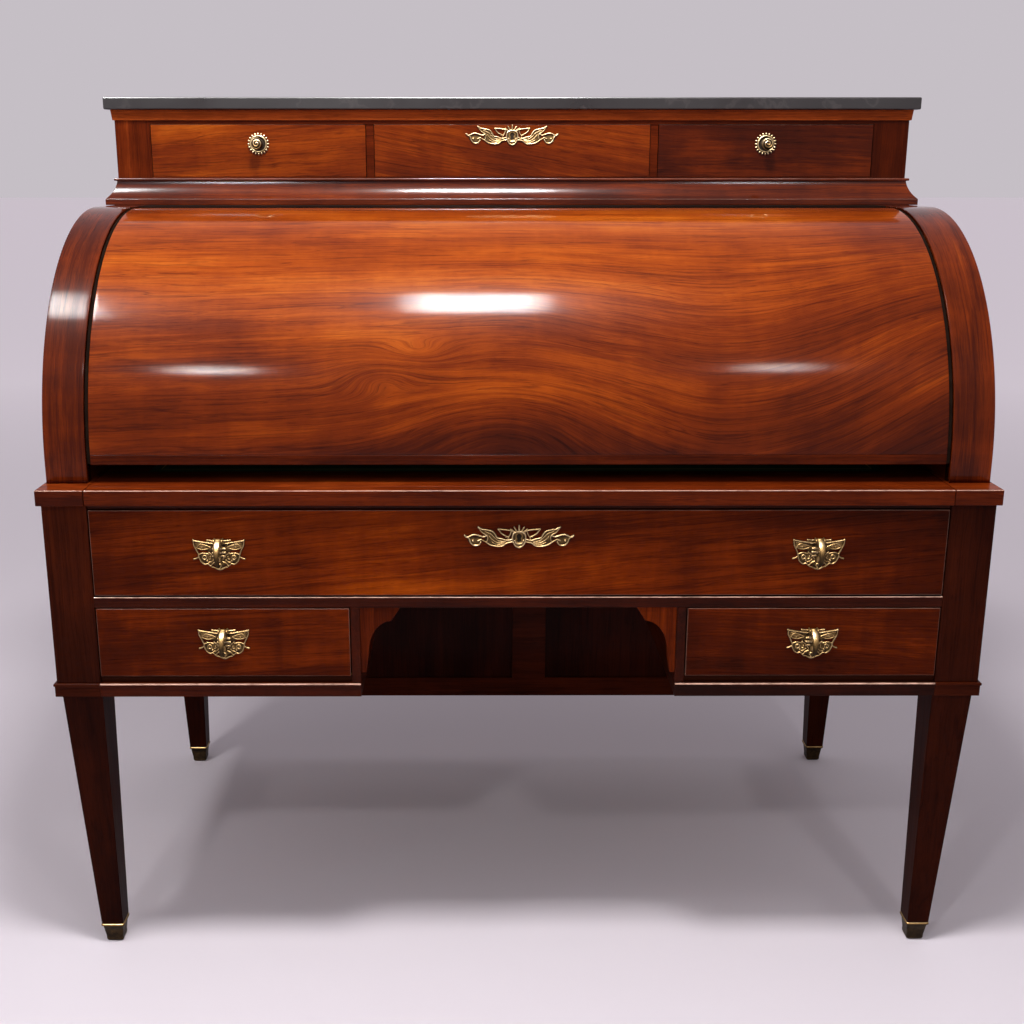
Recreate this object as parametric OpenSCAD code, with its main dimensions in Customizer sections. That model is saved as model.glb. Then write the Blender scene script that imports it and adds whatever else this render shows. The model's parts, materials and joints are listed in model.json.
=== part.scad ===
// Cylinder desk: a drawer case on four tapered legs with brass shoes, a writing slide, a rigid
// curved fall that turns back into the drum behind it, and a three-drawer gradin under a marble
// slab. Lengths are in millimetres, +Z is up and the front faces -Y. The origin lies on the
// floor under the middle of the whole desk.

/* [Case] */
// Width over the four posts
case_w = 1380; // [1280:5:1480]
// Depth over the four posts
case_d = 742; // [700:2:800]
// Width of each square post
post_w = 65; // [60:1:72]
// Clear width between the two pedestals
kneehole_w = 469; // [440:1:500]
// Thickness of the pedestal side next to the kneehole
kneehole_side_t = 13.5; // [10:0.5:16]
// Height of the moulded rail round the bottom of the case
bottom_rail_h = 21; // [18:0.5:26]
// How far that rail stands proud of the posts
bottom_rail_out = 3; // [2:0.5:5]
// Thickness of a front rail from front to back
rail_d = 40; // [30:1:50]
// Height of the rail between the long drawer and the short ones
mid_rail_h = 16.5; // [14:0.5:22]
// Thickness of the side panels of the case
side_t = 14; // [10:1:18]
// How far the side panels lie behind the faces of the posts
side_inset = 5; // [3:0.5:8]
// Thickness of the board under the short drawers
pedestal_floor_t = 10.7; // [9:0.1:14]
// Thickness of the board that the long drawer runs on
drawer_board_t = 10; // [8:0.5:12]
// Thickness of the board that the writing slide runs on
bed_t = 7.5; // [6:0.5:10]
// Thickness of each kneehole bracket
bracket_t = 16; // [12:1:20]
// Reach of each kneehole bracket below the rail
bracket_h = 103; // [90:1:106]
// Reach of each kneehole bracket along the rail
bracket_w = 60; // [50:1:70]

/* [Legs] */
// Height of the legs below the case
leg_h = 438; // [400:2:460]
// Inset of the outer face at the top of a leg
leg_inset = 5; // [3:0.5:8]
// Taper of each outer face down to the brass shoe
taper_out = 22; // [18:1:24]
// Taper of each inner face down to the brass shoe
taper_in = 4; // [2:1:6]
// Height of the brass shoe
shoe_h = 34; // [28:1:40]
// Wall of the brass shoe at its top
shoe_wall = 2.5; // [2:0.5:3]

/* [Back] */
// Height of the bottom edge of the panelled back
back_low = 142; // [120:2:200]
// Thickness of the back frame
back_t = 18; // [14:1:22]
// Distance from the back of the posts to the back frame
back_inset = 26; // [22:1:30]
// Height of the bottom rail of the back
back_rail_h = 40; // [30:1:60]
// Width of the upright between the two back panels
muntin_w = 68; // [50:1:80]
// Place of that upright from the middle
muntin_x = 45; // [0:1:60]
// Width of the end stiles and height of the top rail of the back
back_stile_w = 60; // [45:1:70]
// Thickness of the panels in the back
panel_t = 10; // [6:1:12]
// Thickness of the upper back behind the drum and the gradin
upper_back_t = 14; // [10:1:18]

/* [Drawers] */
// Height of the two short drawer fronts
short_h = 106; // [95:1:115]
// Height of the long drawer front
long_h = 129; // [120:1:140]
// Thickness of the drawer fronts in the case
front_t = 22; // [18:1:25]
// Gap at each end of a drawer front
end_gap = 2; // [1:0.5:3]
// Gap above a drawer front
head_gap = 1.5; // [1:0.1:3]
// Thickness of the drawer sides and backs
box_t = 10; // [8:0.5:12]
// Thickness of the drawer bottoms
bottom_t = 6; // [4:0.5:8]
// Running gap under drawers and the slide
run_gap = 0.3; // [0.2:0.05:0.5]

/* [Ledge and slide] */
// Thickness of the writing ledge
ledge_t = 23; // [20:0.5:28]
// Overhang of the ledge in front of the posts
ledge_front = 12; // [8:0.5:16]
// Overhang of the ledge beyond the posts at each side
ledge_side = 4; // [3:0.5:8]
// Depth of the fixed rail behind the slide
ledge_back_d = 42; // [36:1:50]
// Gap at each side of the slide
slide_gap = 0.8; // [0.5:0.1:1.5]
// Depth of the front edge piece of the slide
slide_edge_d = 26; // [20:1:35]
// Distance from the front of the slide to its leather
leather_start = 122; // [100:2:150]
// Depth of the leather
leather_d = 320; // [280:5:360]
// Width of the leather
leather_w = 1120; // [1000:10:1180]
// Thickness of the leather
leather_t = 1.5; // [1:0.1:2.5]

/* [Drum] */
// Distance of the quarter-round from the front of the posts
drum_front = 32; // [26:1:40]
// Height of the drum's axis above the ledge
drum_rise = 29; // [28:1:40]
// Width of the curved front bands
band_w = 60; // [54:1:62]
// Thickness of the curved front bands
band_t = 20; // [16:1:24]
// Thickness of the outer and inner walls beside the drum
wall_t = 14; // [12:1:18]
// How far the outer walls lie behind the faces of the bands
wall_inset = 3; // [2:0.5:6]
// How far the fall lies inside the bands
fall_inset = 2; // [1.5:0.5:5]
// Thickness of the fall
fall_t = 16; // [12:1:18]
// Angle of the bottom edge of the fall from the level of its axis
fall_low_angle = -0.3; // [-0.5:0.1:1]
// Angle of the rear edge of the fall
fall_high_angle = 104; // [100:1:105]
// Angle that the hardwood lipping covers
lip_angle = 2.4; // [2:0.1:4]
// Thickness of the iron arms
arm_t = 5; // [4:0.5:6]
// Width of the spokes of the iron arms
arm_w = 24; // [20:1:30]
// Radius of the hub of each arm
hub_r = 25; // [22:1:26]
// Gap between each arm and the band beside it
arm_gap = 1; // [0.8:0.1:1.5]
// Radius of the pivot of each arm
pivot_r = 7; // [6:0.5:9]
// Running clearance of the pivot in its bush
pivot_play = 0.05; // [0.02:0.01:0.1]
// Wall of the brass bush
bush_wall = 6; // [4:0.5:8]
// Distance behind the axis at which the top rail begins
top_rail_start = 48; // [44:1:56]

/* [Gradin] */
// Distance from the drum's axis to the front of the gradin
gradin_setback = 133; // [125:1:145]
// Inset of the gradin from the sides of the posts
gradin_inset = 5; // [2:0.5:8]
// Height of the moulding under the gradin
base_h = 45; // [40:1:50]
// Projection of that moulding at its foot
base_out = 20; // [15:0.5:23]
// Projection of that moulding at its neck
base_neck = 2; // [1:0.5:4]
// Projection of the small fillet over the neck
base_bead = 6.5; // [5:0.5:9]
// Height of the drawer fronts in the gradin
gradin_drawer_h = 87; // [80:1:95]
// Width of the stiles at the ends of the gradin
gradin_stile_w = 60; // [50:1:66]
// Thickness of the dividers between the gradin drawers
divider_t = 13; // [10:0.5:16]
// Clear width of the middle bay of the gradin
middle_bay_w = 479; // [460:1:500]
// Thickness of the carcass boards of the gradin
gradin_t = 16; // [12:1:18]
// Thickness of the drawer fronts in the gradin
gradin_front_t = 18; // [15:1:20]
// Thickness of the board over the drawers
gradin_top_t = 6; // [5:0.5:8]
// Height of the cornice strip
cornice_h = 17.5; // [12:0.5:20]
// Projection of the cornice strip
cornice_out = 5; // [3:0.5:8]
// Depth of the cornice strip
cornice_d = 35; // [30:1:45]
// Thickness of the marble slab
marble_t = 20; // [16:0.5:25]
// Overhang of the marble slab
marble_out = 14; // [10:0.5:18]
// Chamfer on the edges of the marble
marble_edge = 1.2; // [0.8:0.1:2]

/* [Fitted interior] */
// Gap between the nest of pigeonholes and the drum's bands at each side
nest_side_gap = 30; // [25:1:60]
// Distance from the front of the nest to the back frame of the drum
nest_d = 258; // [240:2:270]
// Height of the nest
nest_h = 120; // [100:1:130]
// Thickness of its boards
nest_t = 8; // [6:0.5:10]
// Clear width of its middle bay
nest_bay_w = 400; // [350:5:450]
// Height of its two small drawers
nest_drawer_h = 46; // [40:1:50]

/* [Brass] */
// Width of a pull plate
plate_w = 78; // [70:1:86]
// Height of a pull plate
plate_h = 50; // [44:1:54]
// Thickness of the brass plates
plate_t = 2.5; // [2:0.1:3]
// Outer radius of the loop of a pull
drop_r = 22; // [18:0.5:24]
// Thickness of the loop of a pull
drop_t = 7; // [6:0.5:8]
// Width of the loop of a pull
drop_w = 9; // [8:0.5:11]
// How far the middle of the loop lies above the middle of its plate
drop_rise = 3; // [0:0.5:4]
// Radius of the pin of a pull
pin_r = 2; // [1.5:0.1:2.5]
// Width of each keyhole plate
key_plate_w = 156; // [140:1:165]
// Height of each keyhole plate
key_plate_h = 38; // [34:1:42]
// Radius of the rosette behind each knob
rosette_r = 20; // [18:0.5:22]
// Number of beads round the rosette
rosette_beads = 22; // [16:1:30]
// Radius of each knob
knob_r = 12; // [10:0.5:14]
// Projection of each knob
knob_d = 26; // [22:1:30]

/* [Hidden] */
round_fn = 48;
drum_fn = 240;

half_w = case_w / 2;
post_in = half_w - post_w;
kneehole_half = kneehole_w / 2;
pedestal_in = kneehole_half + kneehole_side_t;

// Levels from the floor up.
bottom_rail_top = leg_h + bottom_rail_h;
pedestal_top = bottom_rail_top + pedestal_floor_t;
short_low = pedestal_top + run_gap;
short_top = short_low + short_h;
mid_rail_low = short_top + head_gap;
mid_rail_top = mid_rail_low + mid_rail_h;
board_lift = 2.7;
board_top = mid_rail_top + board_lift;
long_low = board_top + run_gap;
long_top = long_low + long_h;
bed_low = long_top + head_gap;
bed_top = bed_low + bed_t;
ledge_low = bed_top + run_gap;
ledge_top = ledge_low + ledge_t;

// The drum's circle fills the depth behind its front edge.
drum_r = (case_d - drum_front) / 2;
axis_y = drum_front + drum_r;
axis_z = ledge_top + drum_rise;
fall_r = drum_r - fall_inset;
fall_in_r = fall_r - fall_t;
wall_back = case_d - upper_back_t;
band_in = half_w - band_w;
arm_out = band_in - arm_gap;
fall_half = arm_out - arm_t;
inner_wall_start = band_in + 1;

// Back of the case.
frame_back = case_d - back_inset;
frame_front = frame_back - back_t;
box_clear = 8;
box_back = frame_front - box_clear;

// Gradin.
gradin_z = axis_z + drum_r;
gradin_front = axis_y + gradin_setback;
gradin_half = half_w - gradin_inset;
base_top = gradin_z + base_h;
gradin_floor = base_top + 2;
gradin_low = gradin_floor + run_gap;
gradin_top = gradin_low + gradin_drawer_h;
gradin_board = gradin_top + 1;
cornice_z = gradin_board + gradin_top_t;
marble_z = cornice_z + cornice_h;
marble_back = case_d + 2;
middle_half = middle_bay_w / 2;
bay_in = middle_half + divider_t;
bay_out = gradin_half - gradin_stile_w;
gradin_box_back = wall_back - box_clear;

// Nest of pigeonholes over the back of the slide.
nest_gap = 40;
nest_low = ledge_top + run_gap;
nest_top = nest_low + nest_h;
nest_front = wall_back - nest_d;
nest_back = wall_back - nest_gap;
nest_half = band_in - nest_side_gap;
nest_bay = nest_bay_w / 2;
nest_shelf = nest_low + nest_t + nest_drawer_h + 1;

// Brass: places of the pulls, the keyholes and the knobs.
pull_x = (pedestal_in + post_in) / 2;
pull_pin_y = plate_t + 5;
pull_pin_z = drop_rise + drop_r - drop_t / 2;
drop_stand = plate_t + 2;
drop_reach = drop_stand + drop_r;
long_pull_z = long_low + long_h / 2 - 2;
short_pull_z = short_low + short_h / 2 - 2;
key_drop = 22;
long_key_z = long_top - key_plate_h / 2 - key_drop;
gradin_key_z = gradin_top - key_plate_h / 2;
knob_x = (bay_in + bay_out) / 2;
knob_rise = 55;
knob_z = gradin_low + knob_rise;

// The middle of the whole desk from front to back, from the pulls to the slab.
mid_y = (marble_back - drop_reach) / 2;

red_brown = [0.36, 0.15, 0.07];
dark_brown = [0.20, 0.08, 0.04];
orange_brown = [0.55, 0.25, 0.10];
oak = [0.62, 0.46, 0.28];
brass = [0.80, 0.64, 0.34];
iron = [0.16, 0.15, 0.15];

module placed() { translate([0, -mid_y, 0]) children(); }

module span(x, y, z) {
    translate([x[0], y[0], z[0]]) cube([x[1] - x[0], y[1] - y[0], z[1] - z[0]]);
}

module both_sides() {
    children();
    mirror([1, 0, 0]) children();
}

module on_side(side) {
    if (side < 0) mirror([1, 0, 0]) children();
    else children();
}

// A profile drawn in (Y, Z) and drawn out along X.
module along_x(from, to) {
    translate([from, 0, 0]) rotate([90, 0, 90]) linear_extrude(to - from) children();
}

// A profile drawn in (X, Z) and drawn out along Y.
module along_y(from, to) {
    translate([0, to, 0]) rotate([90, 0, 0]) linear_extrude(to - from) children();
}

// A block whose front and side faces follow a contour of [projection, height] points, mitred
// at its two front corners.
module moulded_block(contour, half, front, back, low) {
    top = contour[len(contour) - 1][1];
    base = contour[0][1];
    face = [for (p = contour) [front - p[0], low + p[1]]];
    right = [for (p = contour) [half + p[0], low + p[1]]];
    left = [for (i = [len(contour) - 1:-1:0]) [-half - contour[i][0], low + contour[i][1]]];
    reach = 40;
    intersection() {
        along_x(-half - reach, half + reach)
            polygon(concat(face, [[back, low + top], [back, low + base]]));
        along_y(front - reach, back) polygon(concat(right, left));
    }
}

// ---- Case ----

// Outer and inner edges of a leg at a height above the floor, from the corner of its post.
function leg_outer(z) = leg_inset + taper_out * (leg_h - z) / (leg_h - shoe_h);
function leg_inner(z) = post_w - taper_in * (leg_h - z) / (leg_h - shoe_h);

tenon_step = 2;
tenon_out = 4.5;
tenon_in = 4.5;
shoe_floor = 4;
tenon_low = leg_outer(shoe_floor) + tenon_step + tenon_out;
tenon_high = leg_inner(shoe_floor) - tenon_step - tenon_in;
tenon = [
    [leg_outer(shoe_h) + tenon_step, shoe_h], [tenon_low, shoe_floor],
    [tenon_high, shoe_floor], [leg_inner(shoe_h) - tenon_step, shoe_h]];
leg_neck = leg_h + 10;
leg_outline = [
    [leg_outer(leg_h), leg_neck], [leg_outer(leg_h), leg_h], [leg_outer(shoe_h), shoe_h],
    tenon[0], tenon[1], tenon[2], tenon[3], [leg_inner(shoe_h), shoe_h],
    [leg_inner(leg_h), leg_h], [leg_inner(leg_h), leg_neck]];
bead_h = 5;
shoe_outline = [
    [leg_outer(shoe_h) - shoe_wall, shoe_h], [leg_outer(shoe_h) - shoe_wall, shoe_h - bead_h],
    [leg_outer(shoe_h) - 1, shoe_h - bead_h - 1], [tenon_low - shoe_wall, 0],
    [tenon_high + shoe_wall, 0], [leg_inner(shoe_h) + 1, shoe_h - bead_h - 1],
    [leg_inner(shoe_h) + shoe_wall, shoe_h - bead_h], [leg_inner(shoe_h) + shoe_wall, shoe_h]];

// The same outline seen from the front and from the side, cut to where the two views meet.
module four_sided(outline) {
    intersection() {
        along_y(0, post_w * 2) polygon(outline);
        along_x(0, post_w * 2) polygon(outline);
    }
}

// Places a piece drawn at the left front corner on any corner of the case.
module at_corner(side, rear) {
    on_side(-side) translate([-half_w, 0, 0])
        if (rear) translate([0, case_d, 0]) mirror([0, 1, 0]) children();
        else children();
}

module post() { span([0, post_w], [0, post_w], [leg_h, ledge_low]); }

module leg(side, rear) {
    color(dark_brown) placed() at_corner(side, rear) {
        post();
        four_sided(leg_outline);
    }
}

module front_left_leg() { leg(-1, false); }
module front_right_leg() { leg(1, false); }
module rear_left_leg() { leg(-1, true); }
module rear_right_leg() { leg(1, true); }

module sabots() {
    color(brass) placed() for (side = [-1, 1], rear = [false, true])
        at_corner(side, rear) difference() {
            four_sided(shoe_outline);
            four_sided(tenon);
        }
}

// The moulded rail round the foot of the case, with a bead along its top.
rail_t = 20;
rail_bead = 5;
rail_contour = [
    [bottom_rail_out, 0], [bottom_rail_out, bottom_rail_h - rail_bead],
    [bottom_rail_out + 1.5, bottom_rail_h - rail_bead + 1],
    [bottom_rail_out + 1.5, bottom_rail_h - 1], [bottom_rail_out + 0.5, bottom_rail_h]];

module rail_band() { moulded_block(rail_contour, half_w, 0, case_d, leg_h); }

module leg_collars() {
    color(dark_brown) placed() for (side = [-1, 1], rear = [false, true])
        difference() {
            intersection() {
                rail_band();
                at_corner(side, rear) span([-20, post_w], [-20, post_w], [leg_h, ledge_low]);
            }
            at_corner(side, rear) post();
        }
}

module bottom_rails() {
    color(red_brown) placed() both_sides() intersection() {
        rail_band();
        union() {
            span([kneehole_half, post_in], [-20, rail_t], [0, ledge_low]);
            span([half_w - rail_t, half_w + 20], [post_w, case_d - post_w], [0, ledge_low]);
        }
    }
}

side_out = half_w - side_inset;

module side_panels() {
    color(red_brown) placed() both_sides()
        span([side_out - side_t, side_out], [post_w, case_d - post_w],
             [bottom_rail_top, ledge_low]);
}

// A board that fills the case from one side panel to another and clears the posts.
module case_board(x, y, z) {
    difference() {
        span(x, y, z);
        for (side = [-1, 1], rear = [false, true]) at_corner(side, rear) post();
    }
}

pedestal_shadow = 6;

module pedestal_floors() {
    color(oak) placed() both_sides()
        case_board([pedestal_in, side_out - side_t], [pedestal_shadow, frame_front],
                   [bottom_rail_top, pedestal_top]);
}

module kneehole_sides() {
    color(red_brown) placed() both_sides() {
        span([kneehole_half, pedestal_in], [0, rail_t], [bottom_rail_top, mid_rail_low]);
        span([kneehole_half, pedestal_in], [rail_t, frame_front], [leg_h, mid_rail_low]);
    }
}

// Each bracket hangs under the rail beside a pedestal: a sloping toe, a hollow, and a long
// lower leg that narrows to its tip.
module bracket_outline() {
    toe = [bracket_w * 0.77, bracket_h * 0.21];
    knee = [bracket_w * 0.2, bracket_h * 0.7];
    tip = bracket_w * 0.13;
    hollow = [for (t = [0:9:90]) [toe[0] - (toe[0] - knee[0]) * sin(t),
                                  knee[1] - (knee[1] - toe[1]) * cos(t)]];
    translate([kneehole_half, mid_rail_low]) rotate(180)
        polygon(concat([[0, 0], [bracket_w, 0]], hollow, [[tip, bracket_h], [0, bracket_h]]));
}

module kneehole_brackets() {
    bracket_front = 2;
    color(orange_brown) placed() both_sides()
        along_y(bracket_front, bracket_front + bracket_t) bracket_outline();
}

module front_rails() {
    color(red_brown) placed() {
        span([-post_in, post_in], [0, rail_d], [mid_rail_low, mid_rail_top]);
        span([-post_in, post_in], [3, rail_d], [bed_low, bed_top]);
    }
}

module dust_boards() {
    reach = side_out - side_t;
    color(oak) placed() {
        case_board([-reach, reach], [rail_d, frame_front],
                   [board_top - drawer_board_t, board_top]);
        case_board([-reach, reach], [rail_d, frame_front], [bed_low, bed_top]);
    }
}

back_high = ledge_low;
panel_low = back_low + back_rail_h;
panel_high = back_high - back_stile_w;
panel_end = post_in - back_stile_w;

module back_frame() {
    y = [frame_front, frame_back];
    color(dark_brown) placed() {
        span([-post_in, post_in], y, [back_low, panel_low]);
        span([-post_in, post_in], y, [panel_high, back_high]);
        both_sides() span([panel_end, post_in], y, [panel_low, panel_high]);
        span([muntin_x - muntin_w / 2, muntin_x + muntin_w / 2], y, [panel_low, panel_high]);
    }
}

module back_panels() {
    middle = (frame_front + frame_back) / 2;
    y = [middle - panel_t / 2, middle + panel_t / 2];
    color(dark_brown) placed() {
        span([-panel_end, muntin_x - muntin_w / 2], y, [panel_low, panel_high]);
        span([muntin_x + muntin_w / 2, panel_end], y, [panel_low, panel_high]);
        span([-half_w, half_w], [wall_back, case_d], [ledge_top, gradin_z]);
        span([-gradin_half, gradin_half], [wall_back, case_d], [gradin_z, gradin_board]);
    }
}

// ---- Ledge and slide ----

module ledge_frame() {
    color(red_brown) placed() {
        both_sides() span([post_in, half_w + ledge_side], [-ledge_front, case_d],
                          [ledge_low, ledge_top]);
        span([-post_in, post_in], [case_d - ledge_back_d, case_d], [ledge_low, ledge_top]);
    }
}

slide_half = post_in - slide_gap;
slide_back = case_d - ledge_back_d - 10;
slide_split = slide_edge_d - ledge_front;
leather_front = leather_start - ledge_front;

module slide_edge() {
    color(red_brown) placed()
        span([-slide_half, slide_half], [-ledge_front, slide_split], [ledge_low, ledge_top]);
}

module leather_block(top) {
    span([-leather_w / 2, leather_w / 2], [leather_front, leather_front + leather_d],
         [ledge_top - leather_t, top]);
}

module slide_board() {
    color(red_brown) placed() difference() {
        span([-slide_half, slide_half], [slide_split, slide_back], [ledge_low, ledge_top]);
        leather_block(ledge_top + 1);
    }
}

module slide_leather() { color([0.16, 0.22, 0.15]) placed() leather_block(ledge_top); }

// ---- Drum ----

// The side view of the drum: upright at the front, a quarter circle, then flat to the back.
module drum_outline(r, back, low) {
    difference() {
        translate([axis_y - r, low]) square([back - axis_y + r, axis_z + r - low]);
        difference() {
            translate([axis_y - r - 1, axis_z]) square([r + 1, r + 1]);
            translate([axis_y, axis_z]) circle(r, $fn = drum_fn);
        }
    }
}

module quadrant_band(side) {
    color(orange_brown) placed() on_side(side) along_x(band_in, half_w) difference() {
        drum_outline(drum_r, wall_back, ledge_top);
        drum_outline(drum_r - band_t, wall_back + 1, ledge_top - 1);
    }
}

module quadrant_band_left() { quadrant_band(-1); }
module quadrant_band_right() { quadrant_band(1); }

bush_r = pivot_r + pivot_play + bush_wall;
bush_seat = 0.05;

module axis_cylinder(from, to, r) {
    translate([from, axis_y, axis_z]) rotate([0, 90, 0]) cylinder(h = to - from, r = r, $fn = 64);
}

module quadrant_walls() {
    outer = half_w - wall_inset;
    color(red_brown) placed() both_sides() {
        along_x(outer - wall_t, outer) drum_outline(drum_r - band_t, wall_back, ledge_top);
        difference() {
            along_x(inner_wall_start, inner_wall_start + wall_t)
                drum_outline(drum_r - band_t, wall_back, ledge_top);
            axis_cylinder(band_in, half_w, bush_r + bush_seat);
        }
    }
}

module pivot_bushes() {
    color(brass) placed() both_sides() difference() {
        axis_cylinder(inner_wall_start, inner_wall_start + wall_t, bush_r);
        axis_cylinder(band_in, half_w, pivot_r + pivot_play);
    }
}

// A pie slice from one angle to another, both measured up from the front of the drum.
module slice(from, to, r) {
    steps = 12;
    polygon(concat([[0, 0]], [for (i = [0:steps])
        let (a = 180 - from - (to - from) * i / steps) [r * cos(a), r * sin(a)]]));
}

module ring_piece(inner, outer, from, to) {
    translate([axis_y, axis_z]) difference() {
        intersection() {
            circle(outer, $fn = drum_fn);
            slice(from, to, outer * 1.2);
        }
        circle(inner, $fn = drum_fn);
    }
}

fall_split_angle = fall_low_angle + lip_angle;

module cylinder_panel() {
    color(orange_brown) placed() along_x(-fall_half, fall_half)
        ring_piece(fall_in_r, fall_r, fall_split_angle, fall_high_angle);
}

module cylinder_lip() {
    color(red_brown) placed() along_x(-fall_half, fall_half)
        ring_piece(fall_in_r, fall_r, fall_low_angle, fall_split_angle);
}

module spoke(angle) {
    translate([axis_y, axis_z]) rotate(180 - angle)
        translate([0, -arm_w / 2]) square([fall_in_r + fall_t / 2, arm_w]);
}

module cylinder_arm(side) {
    spoke_low_angle = 8;
    spoke_high_angle = 92;
    rim_gap = 1;
    color(iron) placed() on_side(side) {
        along_x(fall_half, arm_out) {
            ring_piece(fall_in_r, fall_r - rim_gap, fall_low_angle + 0.2, fall_high_angle);
            spoke(spoke_low_angle);
            spoke(spoke_high_angle);
            translate([axis_y, axis_z]) circle(hub_r, $fn = 96);
        }
        axis_cylinder(fall_half, inner_wall_start + wall_t, pivot_r);
    }
}

module cylinder_arm_left() { cylinder_arm(-1); }
module cylinder_arm_right() { cylinder_arm(1); }

// The rail over the fall is hollowed to follow it, and hangs under the foot of the gradin.
module cylinder_top_rail() {
    sweep_gap = 1.5;
    depth = 60;
    color(iron) placed() along_x(-band_in, band_in) difference() {
        translate([axis_y + top_rail_start, gradin_z - depth])
            square([gradin_setback + gradin_t - top_rail_start, depth]);
        translate([axis_y, axis_z]) circle(fall_r + sweep_gap, $fn = drum_fn);
    }
}

// ---- Gradin ----

// The moulding under the gradin: a broad fillet, a shallow hollow and a small fillet on top.
hollow_r = 50;
foot_h = 10;
bead_h = 4;
hollow_foot = [base_out - 1, foot_h + 1];
hollow_head = [base_neck, base_h - bead_h - 1];
hollow_way = hollow_head - hollow_foot;
hollow_half = norm(hollow_way) / 2;
hollow_centre = (hollow_foot + hollow_head) / 2
    + [hollow_way[1], -hollow_way[0]] * sqrt(hollow_r * hollow_r - hollow_half * hollow_half)
    / (hollow_half * 2);
hollow_start = atan2(hollow_foot[1] - hollow_centre[1], hollow_foot[0] - hollow_centre[0]);
hollow_end = atan2(hollow_head[1] - hollow_centre[1], hollow_head[0] - hollow_centre[0]);
base_contour = concat(
    [[base_out, 0], [base_out, foot_h]],
    [for (t = [0:6]) let (a = hollow_start + (hollow_end - hollow_start) * t / 6)
        hollow_centre + hollow_r * [cos(a), sin(a)]],
    [[base_bead, base_h - bead_h], [base_bead, base_h - 1], [base_bead - 1, base_h]]);

module base_moulding() {
    color(red_brown) placed() {
        difference() {
            intersection() {
                base_block();
                span([-post_in, post_in], [0, case_d], [gradin_z, base_top]);
            }
            base_core();
        }
        both_sides() difference() {
            intersection() {
                base_block();
                span([post_in, half_w + base_out * 2], [0, case_d], [gradin_z, base_top]);
            }
            base_core();
        }
    }
}

module base_block() { moulded_block(base_contour, gradin_half, gradin_front, case_d, gradin_z); }

module base_core() {
    span([-gradin_half, gradin_half], [gradin_front, case_d + 1], [gradin_z - 1, base_top + 1]);
}

module gradin_carcass() {
    inner = gradin_half - gradin_t;
    behind = gradin_front + gradin_front_t;
    color(red_brown) placed() {
        // plinth behind the moulding
        span([-inner, inner], [gradin_front, gradin_front + gradin_t],
             [gradin_z, gradin_floor - gradin_t]);
        span([-inner, inner], [wall_back - gradin_t, wall_back],
             [gradin_z, gradin_floor - gradin_t]);
        // floor, sides and board over the drawers
        span([-inner, inner], [gradin_front, wall_back], [gradin_floor - gradin_t, gradin_floor]);
        span([-gradin_half, gradin_half], [gradin_front, case_d], [gradin_board, cornice_z]);
        both_sides() {
            span([inner, gradin_half], [gradin_front, wall_back], [gradin_z, gradin_board]);
            // stiles in front, dividers, and guides beside the outer drawers
            span([bay_out, inner], [gradin_front, behind], [gradin_floor, gradin_board]);
            span([middle_half, bay_in], [gradin_front + 2, wall_back],
                 [gradin_floor, gradin_board]);
            span([bay_out, inner], [behind, wall_back], [gradin_floor, gradin_floor + 12]);
        }
    }
}

cornice_contour = [[cornice_out - 2, 0], [cornice_out, cornice_h]];

module cornice() {
    color(red_brown) placed() difference() {
        moulded_block(cornice_contour, gradin_half, gradin_front, case_d, cornice_z);
        span([cornice_d - gradin_half, gradin_half - cornice_d],
             [gradin_front + cornice_d, case_d - cornice_d], [cornice_z - 1, marble_z + 1]);
    }
}

marble_contour = [
    [marble_out - marble_edge, 0], [marble_out, marble_edge],
    [marble_out, marble_t - marble_edge], [marble_out - marble_edge, marble_t]];

module marble_top() {
    color([0.10, 0.10, 0.11]) placed()
        moulded_block(marble_contour, gradin_half, gradin_front, marble_back, marble_z);
}

// ---- Fitted interior ----

module interior_nest() {
    upright = [nest_low + nest_t, nest_top - nest_t];
    y = [nest_front, nest_back];
    color(red_brown) placed() {
        span([-nest_half, nest_half], [nest_front, wall_back], [nest_low, nest_low + nest_t]);
        span([-nest_half, nest_half], y, [nest_top - nest_t, nest_top]);
        span([nest_t - nest_half, nest_half - nest_t], [nest_back - nest_t, nest_back], upright);
        both_sides() {
            span([nest_half - nest_t, nest_half], y, upright);
            span([nest_bay, nest_bay + nest_t], [nest_front, nest_back - nest_t], upright);
            span([nest_bay + nest_t, nest_half - nest_t], [nest_front, nest_back - nest_t],
                 [nest_shelf, nest_shelf + nest_t]);
        }
    }
}

module nest_drawer(side) {
    x = [nest_bay + nest_t + 0.5, nest_half - nest_t - 0.5];
    low = nest_low + nest_t + run_gap;
    top = low + nest_drawer_h;
    back = nest_back - nest_t - 5;
    wall = 6;
    color(red_brown) placed() on_side(side) {
        span(x, [nest_front, nest_front + wall], [low, top]);
        span([x[0], x[0] + wall], [nest_front + wall, back], [low, top - 4]);
        span([x[1] - wall, x[1]], [nest_front + wall, back], [low, top - 4]);
        span([x[0] + wall, x[1] - wall], [back - wall, back], [low, top - 4]);
        span([x[0] + wall, x[1] - wall], [nest_front + wall, back - wall], [low, low + 4]);
        translate([(x[0] + x[1]) / 2, nest_front, (low + top) / 2]) turned_knob(6, 14);
    }
}

module nest_drawer_left() { nest_drawer(-1); }
module nest_drawer_right() { nest_drawer(1); }

// ---- Drawers ----

module drawer_front(x, y, z, t) { color(orange_brown) placed() span(x, [y, y + t], z); }

// Two sides, a back and a bottom behind a drawer front; the sides run on the board below.
module drawer_box(x, front, back, low, top) {
    color(oak) placed() {
        for (from = [x[0], x[1] - box_t])
            span([from, from + box_t], [front, back], [low, top]);
        inner = [x[0] + box_t, x[1] - box_t];
        span(inner, [back - box_t, back], [low, top]);
        span(inner, [front, back - box_t], [low + 3, low + 3 + bottom_t]);
    }
}

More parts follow.
